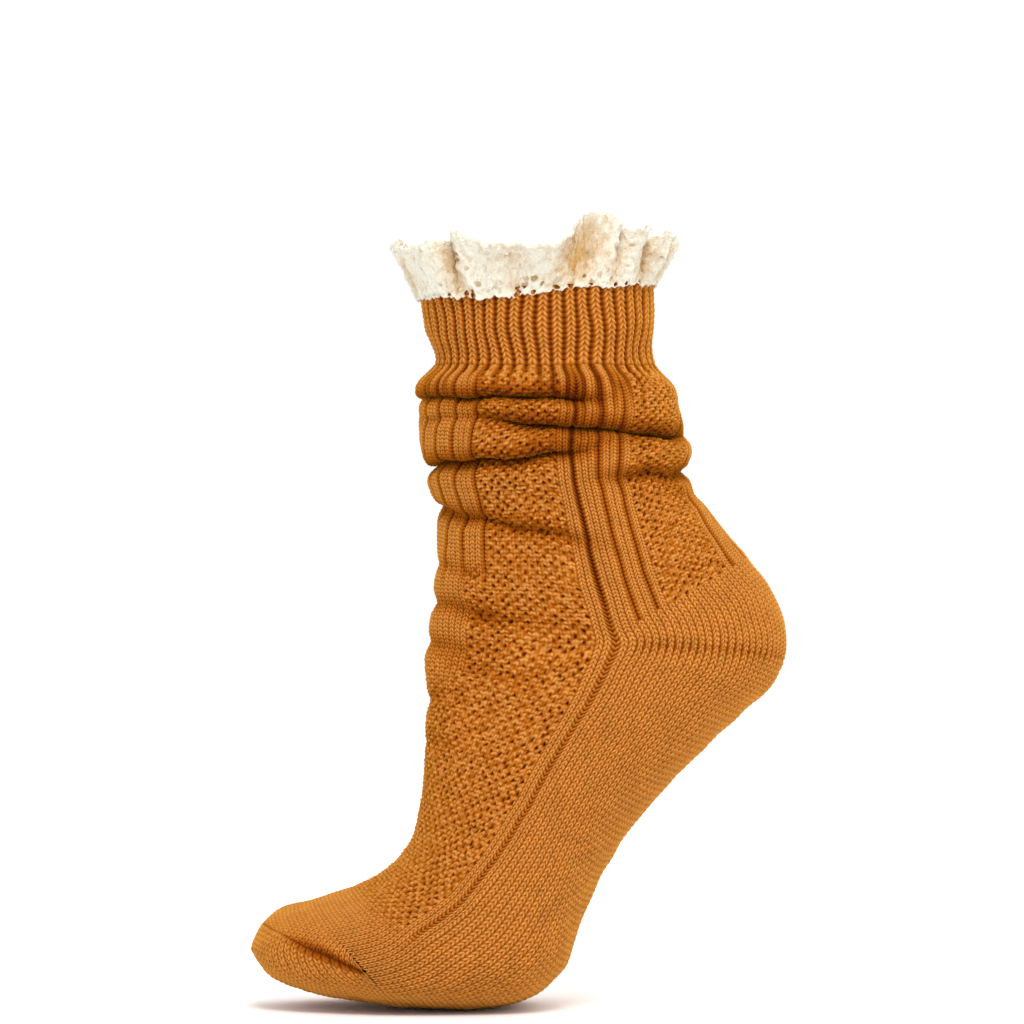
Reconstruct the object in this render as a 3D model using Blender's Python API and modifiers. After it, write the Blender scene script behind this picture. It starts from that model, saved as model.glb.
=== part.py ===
"""One slouched crew sock with a gathered lace ruffle, worn on a pointed foot.

The sock is knitted as one tube from the ribbed cuff to the toe pocket, and the lace is sewn to the
top of the cuff. It keeps the hollow form that it has when worn: toes towards -X, leg up +Z, and the
heel raised. The origin is the middle of the cuff's top edge, where the leg comes out.

Every ring of the tube is hinged at the sides of the foot: its front half runs from the side over the
shin or instep, and its back half from the side round the calf, heel or sole. That is how a turned
heel is knitted, as extra rows behind the sides that the front doesn't have.
"""

from collections import namedtuple
from math import pi, radians

import bmesh
import bpy
import numpy as np

MM = 0.001  # the tables below are in millimetres, and the model is in metres

# Driving sizes of the knitting.
FRONT_WALES = 60  # columns of stitches (wales) over the shin or instep, from one side to the other
BACK_WALES = 52  # and behind: these are the ones that knit the heel
CUFF_RIBS = 48
WALL = 2.0 * MM  # thickness of the knitted cloth
TIP_WALL = 3.0 * MM  # the same at the very tip of the toe
SEAM_GAP = 0.4 * MM  # between two pieces that meet, measured along the cloth
CUFF_RIB_DEPTH = 1.2 * MM  # how far the purl columns of the cuff sink below its ribs
CUFF_RIB_TOP = 0.35  # share of a rib and its valley that is flat on top, and
CUFF_RIB_VALLEY = 0.35  # flat below
LADDER_DEPTH = 1.1 * MM  # the same for the ladders between the wide ribs of leg and instep
MOSS_DEPTH = 0.4 * MM  # how far a moss panel lies below the ribs beside it
NORMAL_STEP = 1e-4  # share of the surface's own parameters used to measure its slope
SHARP_ANGLE = radians(50)  # edges over this stay sharp when shaded

# The lace ruffle.
LACE_THICKNESS = 1.2 * MM
LACE_HEIGHT = 21.5 * MM  # from its sewn foot to its free edge
LACE_OVERLAP = 3.0 * MM  # the foot lies this far down over the outside of the cuff
LACE_WAVES = 11
LACE_POINTS_A_WAVE = 7
LACE_ROWS = 6
LACE_WAVE_SIZE = 4.4 * MM  # how far a wave swings out and in at the free edge
LACE_BULGE = 4.0 * MM  # how far it rounds out below its free edge
LACE_LEAN = 4.5 * MM  # how far the free edge stands outside the cuff, on average
LACE_BACK_LEAN = 2.0 * MM  # the ruffle leans out this much more behind the leg than before it
LACE_LEAN_POWER = 1.3  # over 1, so that it leans out more and more as it rises

# What makes the ruffle uneven: swings that go round the cuff a whole number of times.
Swing = namedtuple("Swing", "times_round size start")
LACE_WAVE_DRIFT = (Swing(3, 0.9, 0.0), Swing(5, 0.6, 1.0))  # moves its waves round, in radians
LACE_EDGE_DRIFT = (Swing(4, 0.06, 2.0), Swing(7, 0.04, 0.0))  # changes its height, as a share

# Mesh density.
INSIDE_POINTS = 28  # round the plain inside of every ring
INSIDE_STEPS = 9  # places up and down the wall tried for the nearest crease, at every inside point
PANEL_STEP = 3  # wales from point to point across a moss panel or the plain sole
CUFF_RINGS = 4
SLOUCH_RINGS = 25  # down the folds of the leg, and then
ANKLE_RINGS = 9  # down to the heel
FOOT_RINGS = 21
TOE_RINGS = 6

# A ring of the tube: the places in the side view of its front, its side hinge and its back, its half
# width, and how full its front and back halves are (2 is an ellipse, more is squarer).
Section = namedtuple(
    "Section",
    "name front_x front_z side_x side_z back_x back_z half_width front_full back_full",
)
SECTIONS = (
    Section("cuff top", -41.0, -2.5, 2.0, 0.0, 41.0, 3.0, 36.0, 2.0, 2.0),
    Section("cuff middle", -39.0, -14.5, 3.0, -13.5, 41.0, -12.0, 35.5, 2.0, 2.0),
    Section("cuff bottom", -36.0, -26.5, 4.0, -27.0, 41.5, -26.5, 35.0, 2.0, 2.0),
    Section("first roll", -43.0, -34.0, 5.0, -33.5, 48.5, -34.5, 39.5, 2.0, 2.0),
    Section("second roll", -41.5, -43.5, 5.5, -42.0, 50.5, -43.0, 41.0, 2.0, 2.0),
    Section("third roll", -40.5, -56.0, 8.0, -55.5, 54.5, -55.0, 40.0, 2.0, 2.0),
    Section("fourth roll", -38.5, -67.5, 12.0, -66.5, 54.0, -64.5, 37.0, 2.0, 2.0),
    Section("ankle", -35.0, -77.0, 16.5, -75.5, 58.0, -74.0, 34.5, 2.0, 2.0),
    Section("under the ankle", -35.0, -88.0, 21.0, -89.0, 63.5, -81.0, 33.5, 2.0, 2.0),
    Section("above the heel", -36.0, -100.5, 25.5, -102.0, 68.0, -87.0, 32.5, 2.0, 2.1),
    Section("heel turn starts", -37.5, -114.0, 31.0, -118.0, 74.0, -94.0, 31.5, 2.0, 2.2),
    Section("upper heel", -38.0, -118.0, 32.0, -120.0, 82.0, -104.5, 31.5, 2.0, 2.3),
    Section("heel turn", -38.5, -122.0, 32.8, -122.5, 87.5, -122.0, 31.5, 2.0, 2.3),
    Section("lower heel", -38.8, -126.5, 32.0, -125.5, 83.5, -136.5, 31.5, 2.0, 2.3),
    Section("heel turn ends", -39.0, -131.5, 30.5, -128.5, 72.0, -147.5, 32.0, 2.0, 2.3),
    Section("back of the arch", -39.0, -143.0, 24.0, -141.0, 58.5, -160.5, 32.5, 2.0, 2.3),
    Section("arch", -39.5, -155.0, 15.5, -154.5, 46.0, -173.0, 33.0, 2.0, 2.4),
    Section("instep", -40.0, -168.0, 7.5, -167.5, 33.5, -187.5, 34.5, 2.0, 2.5),
    Section("front of the arch", -41.0, -179.5, -1.0, -182.0, 24.0, -202.0, 37.0, 2.0, 2.6),
    Section("behind the ball", -45.0, -193.0, -12.0, -199.0, 16.0, -219.0, 41.0, 2.0, 2.8),
    Section("ball", -54.5, -203.5, -25.5, -215.0, 8.5, -238.0, 44.5, 2.0, 3.0),
    Section("under the ball", -64.0, -208.5, -38.0, -224.5, -5.5, -248.2, 46.0, 2.0, 2.9),
    Section("before the toes", -72.0, -211.5, -48.0, -231.5, -32.0, -250.5, 45.0, 2.1, 2.8),
    Section("toe starts", -79.0, -213.5, -60.0, -235.0, -48.0, -249.5, 42.5, 2.2, 2.6),
    Section("toes", -86.0, -215.5, -73.0, -235.0, -66.0, -247.5, 37.5, 2.2, 2.5),
    Section("ends of the toes", -92.5, -218.5, -85.0, -233.5, -81.5, -244.5, 30.0, 2.2, 2.4),
    Section("toe cap", -97.0, -223.0, -94.0, -231.5, -93.0, -240.0, 21.0, 2.1, 2.2),
    Section("toe tip", -99.3, -228.0, -98.8, -230.5, -98.5, -233.5, 9.5, 2.0, 2.0),
)
TOE_END = (-99.9 * MM, 0.0, -230.7 * MM)

# The creases between the rolls of the slouch, and the softer ones on the instep. Angles run from the
# front of the leg, through the side that faces -Y, round to the back at 180 degrees. A crease sinks to
# its full depth over fade_in degrees, and comes back up over the last fade_out.
Crease = namedtuple(
    "Crease", "name from_deg to_deg fade_in fade_out from_z middle_z to_z depth half_height"
)
CREASES = (
    Crease("under the first roll", -34, 124, 60, 36, -40.5, -36.8, -38.5, 7.0, 2.9),
    Crease("under the second roll", 44, 206, 42, 60, -44.5, -49.0, -50.5, 7.5, 2.9),
    Crease("under the third roll", -84, 120, 50, 42, -57.5, -61.3, -55.0, 6.5, 3.0),
    Crease("behind the ankle", 86, 262, 46, 60, -67.0, -63.2, -62.0, 3.6, 3.0),
    Crease("under the fourth roll", -56, 94, 44, 36, -75.0, -75.0, -85.0, 2.4, 3.6),
    Crease("far side, upper", 196, 330, 40, 50, -42.0, -38.0, -40.0, 6.0, 2.9),
    Crease("far side, lower", 214, 300, 36, 44, -54.0, -51.5, -56.0, 6.0, 3.0),
    Crease("far side, ankle", 236, 318, 36, 36, -70.0, -73.0, -79.0, 3.0, 3.4),
    Crease("instep, upper", -44, 66, 36, 44, -104.0, -108.0, -113.0, 1.3, 3.6),
    Crease("instep, middle", -50, 58, 36, 40, -124.0, -122.5, -127.0, 1.1, 3.6),
    Crease("instep, lower", -62, 34, 40, 40, -146.0, -142.0, -139.0, 0.9, 3.8),
)

# The pattern of the leg, in columns of stitches counted from the middle of the front to the middle of
# the back. A ladder is a column or two of purl stitches that lies deep between the ribs.
FRONT_LADDERS = (0, 4, 8, 27, 28)
BACK_LADDERS = (31, 34, 49, 53)
FRONT_PANEL = (12, 22)
BACK_PANEL = (38, 47)
SIDE_WALE = FRONT_WALES // 2
BACK_WALE = SIDE_WALE + BACK_WALES // 2
WALES = FRONT_WALES + BACK_WALES

CUFF_COLOUR = (0.52, 0.19, 0.03, 1.0)
KNIT_COLOUR = (0.54, 0.20, 0.035, 1.0)
LACE_COLOUR = (0.86, 0.76, 0.60, 1.0)
KNIT_ROUGHNESS = 0.9
LACE_ROUGHNESS = 0.85


def clear_scene():
    for obj in list(bpy.data.objects):
        bpy.data.objects.remove(obj, do_unlink=True)


def section_columns():
    """The numbers of the section table in metres, with the two fullness columns left as they are."""
    rows = np.array([section[1:] for section in SECTIONS])
    rows[:, :7] *= MM
    return rows


def section_stations(rows):
    """A length for each section: how far the front, side and back have moved along the tube, on average."""
    steps = np.diff(rows[:, :6], axis=0).reshape(-1, 3, 2)
    return np.concatenate([[0.0], np.cumsum(np.linalg.norm(steps, axis=2).mean(axis=1))])


COLUMNS = section_columns()
STATIONS = section_stations(COLUMNS)


def columns_at(lengths):
    """The section table read at any lengths along the tube, on a smooth curve through its rows."""
    slopes = np.gradient(COLUMNS, STATIONS, axis=0)
    row = np.clip(np.searchsorted(STATIONS, lengths, side="right") - 1, 0, len(STATIONS) - 2)
    span = (STATIONS[row + 1] - STATIONS[row])[:, None]
    share = ((lengths - STATIONS[row])[:, None]) / span
    return (
        COLUMNS[row] * (1 + 2 * share) * (1 - share) ** 2
        + COLUMNS[row + 1] * share**2 * (3 - 2 * share)
        + slopes[row] * span * share * (1 - share) ** 2
        - slopes[row + 1] * span * share**2 * (1 - share)
    )


def envelope(lengths, angles):
    """Points of the tube without its creases: an array (lengths, angles, 3).

    The angles have a row for each length, from 0 at the front through pi at the back.
    """
    front_x, front_z, side_x, side_z, back_x, back_z, width, front_full, back_full = (
        column[:, None] for column in columns_at(lengths).T
    )
    cosine, sine = np.cos(angles), np.sin(angles)
    ahead = cosine >= 0
    power = 2 / np.where(ahead, front_full, back_full)
    along = np.abs(cosine) ** power
    across = np.sign(sine) * np.abs(sine) ** power
    x = side_x + np.where(ahead, front_x - side_x, back_x - side_x) * along
    z = side_z + np.where(ahead, front_z - side_z, back_z - side_z) * along
    return np.stack([x, -width * across, z], axis=2)


def outward(surface, lengths, angles):
    """Unit normals of a surface of lengths and angles, pointing out of the tube."""
    reach = STATIONS[-1] * NORMAL_STEP
    turn = 2 * pi * NORMAL_STEP
    low = np.clip(lengths - reach, 0, STATIONS[-1])
    high = np.clip(lengths + reach, 0, STATIONS[-1])
    down = surface(high, angles) - surface(low, angles)
    around = surface(lengths, angles + turn) - surface(lengths, angles - turn)
    normals = np.cross(down, around)
    return normals / np.linalg.norm(normals, axis=2, keepdims=True)


def eased(share):
    share = np.clip(share, 0, 1)
    return share * share * (3 - 2 * share)


def crease_depth(angles, heights):
    """How far the creases sink the cloth at each point of the envelope, in metres."""
    total = np.zeros_like(heights)
    for crease in CREASES:
        start, end = radians(crease.from_deg), radians(crease.to_deg)
        past = np.mod(angles - start, 2 * pi)
        strength = eased(past / radians(crease.fade_in))
        strength = strength * eased((end - start - past) / radians(crease.fade_out))
        share = past / (end - start)
        line = MM * (
            crease.from_z * (1 - share) * (1 - 2 * share)
            + crease.middle_z * 4 * share * (1 - share)
            + crease.to_z * share * (2 * share - 1)
        )
        above = (heights - line) / (crease.half_height * MM)
        total += crease.depth * MM * strength * np.exp(-(above**2))
    return total


def cloth(lengths, angles):
    """Points of the outer face of the cloth, creases and all, before any rib is raised."""
    points = envelope(lengths, angles)
    depth = crease_depth(angles, points[:, :, 2])
    return points - outward(envelope, lengths, angles) * depth[:, :, None]


def inside(lengths, angles):
    """Points of the inner face, everywhere a wall's thickness in from the outer face of the cloth.

    A tight crease would fold the inner face over itself if each point simply moved in, so each one
    takes the deepest of the places that a ball as wide as the wall would reach above and below it.
    """
    points = envelope(lengths, angles)
    steps = np.linspace(-WALL, WALL, INSIDE_STEPS)
    reaches = [
        crease_depth(angles, points[:, :, 2] + step) + np.sqrt(WALL**2 - step**2) for step in steps
    ]
    return points - outward(envelope, lengths, angles) * np.max(reaches, axis=0)[:, :, None]


def wale_angles(lengths, wales):
    """The angle of each wale on each ring, which spaces the stitches evenly round its long oval."""
    front_x, front_z, side_x, side_z, back_x, back_z, width = columns_at(lengths).T[:7]
    ahead = np.hypot(front_x - side_x, front_z - side_z)
    behind = np.hypot(back_x - side_x, back_z - side_z)
    wale = np.mod(np.asarray(wales, float) + BACK_WALE, WALES) - BACK_WALE
    in_front = np.abs(wale) <= SIDE_WALE
    past_side = (np.abs(wale) - SIDE_WALE) / (BACK_WALE - SIDE_WALE)
    even = np.where(in_front, wale / SIDE_WALE, np.sign(wale) * (1 + past_side)) * pi / 2
    depth = np.where(in_front, ahead[:, None], behind[:, None])
    flatness = (depth - width[:, None]) / (depth + width[:, None])
    return even + flatness / 2 * np.sin(2 * even)


def from_front(wale):
    """How many wales a wale is from the middle of the front, on either side."""
    return abs((wale + BACK_WALE) % WALES - BACK_WALE)


def between(wale, panel):
    return panel[0] <= wale <= panel[1]


def instep_depth(wale):
    """How far a wale of the front half lies below the tops of its ribs."""
    if from_front(wale) in FRONT_LADDERS:
        return LADDER_DEPTH
    return MOSS_DEPTH if between(from_front(wale), FRONT_PANEL) else 0.0


def leg_depth(wale):
    """The same for a wale anywhere round the leg."""
    if from_front(wale) in BACK_LADDERS:
        return LADDER_DEPTH
    return MOSS_DEPTH if between(from_front(wale), BACK_PANEL) else instep_depth(wale)


def foot_depth(wale):
    """The same on the foot, whose sole is plain."""
    return instep_depth(wale) if from_front(wale) <= SIDE_WALE else 0.0


def wales_of(depth):
    """The wales that need a point, each with its depth under the given pattern.

    They are those where the leg's pattern rises or falls, and every third one elsewhere. The foot
    takes the same ones, so that the two rims at their seam match.
    """
    wales = [
        wale
        for wale in range(WALES)
        if leg_depth(wale - 1) != leg_depth(wale)
        or leg_depth(wale + 1) != leg_depth(wale)
        or from_front(wale) % PANEL_STEP == 0
    ]
    return np.array(wales, float), np.array([depth(wale) for wale in wales])


def cuff_wales():
    """Outer points of the cuff: each rib has a flat top and a flat valley, two points each."""
    top, valley = CUFF_RIB_TOP / 2, CUFF_RIB_VALLEY / 2
    corners = np.array([-top, top, 0.5 - valley, 0.5 + valley])
    ribs = (np.arange(CUFF_RIBS)[:, None] + corners).ravel()
    return ribs * WALES / CUFF_RIBS, np.tile([0.0, 0.0, CUFF_RIB_DEPTH, CUFF_RIB_DEPTH], CUFF_RIBS)


def moved_off_seam(rows):
    """The same rows of rings with the first moved along the cloth by the seam's gap."""
    along = rows[1] - rows[0]
    rows[0] += SEAM_GAP * along / np.linalg.norm(along, axis=1, keepdims=True)
    return rows


def outer_rows(lengths, wales, depths):
    """Rings of points on the outer face of the cloth, sunk by the given depth at each wale."""
    angles = wale_angles(lengths, wales)
    normals = outward(cloth, lengths, angles)
    return cloth(lengths, angles) - normals * np.asarray(depths)[None, :, None]


def inner_rows(lengths, wales):
    return inside(lengths, wale_angles(lengths, wales))


def add_ring(mesh, points):
    return [mesh.verts.new(point) for point in points]


def bridge(mesh, upper, lower):
    """Quads between two closed rings with the same number of points."""
    for i, corner in enumerate(upper):
        following = (i + 1) % len(upper)
        mesh.faces.new((corner, upper[following], lower[following], lower[i]))


def add_tube(mesh, rows):
    """A tube through rows of ring points. Returns its rings of vertices."""
    rings = [add_ring(mesh, row) for row in rows]
    for upper, lower in zip(rings, rings[1:]):
        bridge(mesh, upper, lower)
    return rings


def join_rings(mesh, first, first_wales, second, second_wales):
    """Triangles between two closed rings on one face that hold different numbers of points."""
    a = b = 0
    while a < len(first) or b < len(second):
        next_a = first_wales[a + 1] if a + 1 < len(first) else first_wales[0] + WALES
        next_b = second_wales[b + 1] if b + 1 < len(second) else second_wales[0] + WALES
        here, there = first[a % len(first)], second[b % len(second)]
        if b >= len(second) or (a < len(first) and next_a <= next_b):
            a += 1
            mesh.faces.new((here, first[a % len(first)], there))
        else:
            b += 1
            mesh.faces.new((here, second[b % len(second)], there))


def close_with_point(mesh, ring, place):
    tip = mesh.verts.new(place)
    for i, corner in enumerate(ring):
        mesh.faces.new((corner, ring[(i + 1) % len(ring)], tip))


def finished(name, mesh, material, collection):
    """Turns a built mesh into a named, smooth-shaded object with its faces pointing out."""
    bmesh.ops.recalc_face_normals(mesh, faces=mesh.faces)
    data = bpy.data.meshes.new(name)
    mesh.to_mesh(data)
    mesh.free()
    data.materials.append(material)
    data.shade_smooth()
    data.set_sharp_from_angle(angle=SHARP_ANGLE)
    obj = bpy.data.objects.new(name, data)
    collection.objects.link(obj)
    return obj


def knitted_wall(name, lengths, wales_and_depths, material, collection, at_seam=True, tip=None):
    """A stretch of the sock as one wall: raised ribs outside, plain cloth inside, and closed rims.

    The inner edge of each rim has a point behind each one of the outer edge, and is joined to the
    fewer points of the plain inside along the inner face.
    """
    wales, depths = wales_and_depths
    within = np.arange(INSIDE_POINTS) * WALES / INSIDE_POINTS
    rows = outer_rows(lengths, wales, depths)
    top_rim = inner_rows(lengths[:2], wales)
    if at_seam:
        rows = moved_off_seam(rows)
        top_rim = moved_off_seam(top_rim)
    mesh = bmesh.new()
    outer = add_tube(mesh, rows)
    inner = add_tube(mesh, inner_rows(lengths[1:-1], within))
    first = add_ring(mesh, top_rim[0])
    bridge(mesh, outer[0], first)
    join_rings(mesh, first, wales, inner[0], within)
    if tip is None:
        last = add_ring(mesh, inner_rows(lengths[-1:], wales)[0])
        bridge(mesh, outer[-1], last)
        join_rings(mesh, last, wales, inner[-1], within)
    else:
        close_with_point(mesh, outer[-1], tip)
        close_with_point(mesh, inner[-1], (tip[0] + TIP_WALL, tip[1], tip[2]))
    return finished(name, mesh, material, collection)


def stretch(start, end, rings):
    """Ring positions from one named section to another, closest where the sections are."""
    names = [section.name for section in SECTIONS]
    rows = np.linspace(names.index(start), names.index(end), rings)
    return np.interp(rows, np.arange(len(STATIONS)), STATIONS)


def drift(swings, turns):
    return sum(swing.size * np.sin(swing.times_round * turns + swing.start) for swing in swings)


def lace_surface():
    """The ruffle's middle surface as rows of rings, from its sewn foot up to its free edge.

    It starts on the outside of the cuff and leans out as it rises, in waves that grow with height.
    """
    count = LACE_WAVES * LACE_POINTS_A_WAVE
    turns = np.arange(count) * 2 * pi / count
    top = np.array([0.0, LACE_OVERLAP])
    angles = np.tile(turns, (2, 1))
    edge, lower = cloth(top, angles)
    out = outward(cloth, top, angles)[0]
    out[:, 2] = 0
    up = edge - lower
    up /= np.linalg.norm(up, axis=1, keepdims=True)
    waves = np.sin(LACE_WAVES * turns + drift(LACE_WAVE_DRIFT, turns))
    heights = LACE_HEIGHT * (1 + drift(LACE_EDGE_DRIFT, turns))
    lean = LACE_LEAN - LACE_BACK_LEAN * np.cos(turns)
    rows = []
    for share in np.linspace(0.0, 1.0, LACE_ROWS):
        swing = SEAM_GAP + LACE_THICKNESS / 2
        swing = swing + lean * share**LACE_LEAN_POWER + LACE_WAVE_SIZE * waves * share
        bulge = LACE_BULGE * share * (1 - share)
        rows.append(lower + up * (share * heights)[:, None] + out * (swing + bulge)[:, None])
    return np.array(rows)


def build_lace(material, collection):
    mesh = bmesh.new()
    add_tube(mesh, lace_surface())
    lace = finished("lace_ruffle", mesh, material, collection)
    thicken = lace.modifiers.new("thickness", "SOLIDIFY")
    thicken.thickness = LACE_THICKNESS
    thicken.offset = 0
    return lace


def yarn(name, colour, roughness):
    """Matt spun yarn or thread, with no metal in it."""
    material = bpy.data.materials.new(name)
    material.use_nodes = True
    shader = material.node_tree.nodes["Principled BSDF"]
    shader.inputs["Base Color"].default_value = colour
    shader.inputs["Roughness"].default_value = roughness
    shader.inputs["Metallic"].default_value = 0.0
    return material


def build_sock():
    sock = bpy.data.collections.new("crew_sock")
    bpy.context.scene.collection.children.link(sock)
    ribbed = yarn("mustard rib knit", CUFF_COLOUR, KNIT_ROUGHNESS)
    knit = yarn("mustard knit", KNIT_COLOUR, KNIT_ROUGHNESS)
    cotton = yarn("cream cotton lace", LACE_COLOUR, LACE_ROUGHNESS)

    cuff = stretch("cuff top", "cuff bottom", CUFF_RINGS)
    knitted_wall("cuff", cuff, cuff_wales(), ribbed, sock, at_seam=False)
    folds = stretch("cuff bottom", "ankle", SLOUCH_RINGS)
    ankle = stretch("ankle", "heel turn starts", ANKLE_RINGS)
    knitted_wall("leg", np.append(folds, ankle[1:]), wales_of(leg_depth), knit, sock)
    foot = stretch("heel turn starts", "toe starts", FOOT_RINGS)
    knitted_wall("foot", foot, wales_of(foot_depth), knit, sock)
    toe = stretch("toe starts", "toe tip", TOE_RINGS)
    knitted_wall("toe", toe, wales_of(foot_depth), knit, sock, tip=TOE_END)
    build_lace(cotton, sock)


clear_scene()
build_sock()
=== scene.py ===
"""Visual model of one slouched crew sock with a gathered lace ruffle, in its worn shape.

The knitting is drawn stitch by stitch: each piece is one sheet of cloth whose face rises over the
strands of every stitch and sinks between them. Toes point towards -X, the leg stands up +Z, and the
origin is the middle of the cuff's top edge.
"""

import logging
from dataclasses import dataclass
from enum import Enum
from math import pi, radians
from typing import Callable, Mapping, NamedTuple, Optional, Sequence

import bpy
import numpy as np
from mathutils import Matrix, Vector


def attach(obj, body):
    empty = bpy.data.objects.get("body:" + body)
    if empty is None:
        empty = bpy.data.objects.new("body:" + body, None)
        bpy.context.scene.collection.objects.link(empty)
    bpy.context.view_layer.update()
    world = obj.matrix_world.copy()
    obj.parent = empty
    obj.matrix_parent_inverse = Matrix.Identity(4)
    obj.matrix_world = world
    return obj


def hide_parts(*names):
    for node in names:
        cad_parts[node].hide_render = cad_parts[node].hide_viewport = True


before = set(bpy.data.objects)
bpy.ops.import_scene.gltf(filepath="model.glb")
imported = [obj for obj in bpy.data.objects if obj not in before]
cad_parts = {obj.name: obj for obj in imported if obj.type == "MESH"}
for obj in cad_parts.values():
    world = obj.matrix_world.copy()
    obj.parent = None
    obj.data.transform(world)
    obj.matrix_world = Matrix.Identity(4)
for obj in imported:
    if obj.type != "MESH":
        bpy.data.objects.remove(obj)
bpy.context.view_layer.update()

LOG = logging.getLogger("crew_sock")
MM = 0.001  # the tables below are in millimetres, and the scene is in metres
SEED = 11
TINY = 1e-12  # keeps a vector of no length from being divided by nothing
TINY_LENGTH = 1e-9  # and a length
SAME_PLACE = 1e-7  # metres within which two points are one

MUSTARD_SLOT = "mustard_knit"
CREAM_SLOT = "cream_lace"

# Sizes of the knitting. Wales are the columns of stitches, and courses the rows.
FRONT_WALES = 60
BACK_WALES = 52
WALES = FRONT_WALES + BACK_WALES
SIDE_WALE = FRONT_WALES // 2
BACK_WALE = SIDE_WALE + BACK_WALES // 2
FRONT_EDGE = SIDE_WALE + 0.5  # the front and back pieces meet beside the last wale of the front
FRONT = (-FRONT_EDGE, FRONT_EDGE)
BACK = (FRONT_EDGE, WALES - FRONT_EDGE)
CUFF_RIBS = 48
CUFF_COURSES = 15
LEG_COURSES = 80
FOOT_COURSES = 86  # from the heel's first course to the toe, over the instep
TURN_COURSES = 8  # of them that face the turned heel at its sides
TOE_COURSE = 1.85 * MM
FULL_WALE = 2.0 * MM  # smaller stitches than this are drawn with a shallower relief
FULL_COURSE = 1.5 * MM
LEAST_RELIEF = 0.55  # as a share of the full relief
GORE_DROP = 8.0 * MM  # how far the heel's gore runs down towards the back
HEM_COURSES = 3  # turned in over the cuff's top edge
HEM_DEPTH = 1.9 * MM

# The pattern of the leg, as wales counted from the middle of the front to the middle of the back.
FRONT_GROOVES = (0, 4, 8, 12)
FRONT_LADDER = 28
FRONT_PANEL = (13, 25)
ANKLE_PANEL = (9, 25)  # where the front ribs have ended
FOOT_PANEL_END = 25  # the lower instep is moss from its middle as far as this
BACK_GROOVES = (32, 35, 49, 53)
BACK_PANEL = (37, 47)
LADDER_OPENS = 14  # courses above the instep where the ladder starts to spread
LADDER_IS_OPEN = 4  # courses below the top of the instep where it is fully spread
MOSS_PITCH = 0.86  # of a moss panel's slots down a wale, for each course

# Points of the mesh across a wale and down a course, and across one rib of the cuff.
ACROSS_WALE = (0.0, 0.14, 0.36, 0.5, 0.64, 0.86)
DOWN_COURSE = (0.0, 0.33, 0.67)
ACROSS_RIB = (0.0, 0.1, 0.2, 0.33, 0.5, 0.67, 0.8, 0.9)
RIB_HALF_WIDTH = 0.31  # of the knit wale that stands on each rib


class Section(NamedTuple):
    """A ring of the tube in the side view, in millimetres. Fullness 2 is an ellipse."""

    name: str
    front_x: float
    front_z: float
    side_x: float
    side_z: float
    back_x: float
    back_z: float
    half_width: float
    front_full: float
    back_full: float


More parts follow.
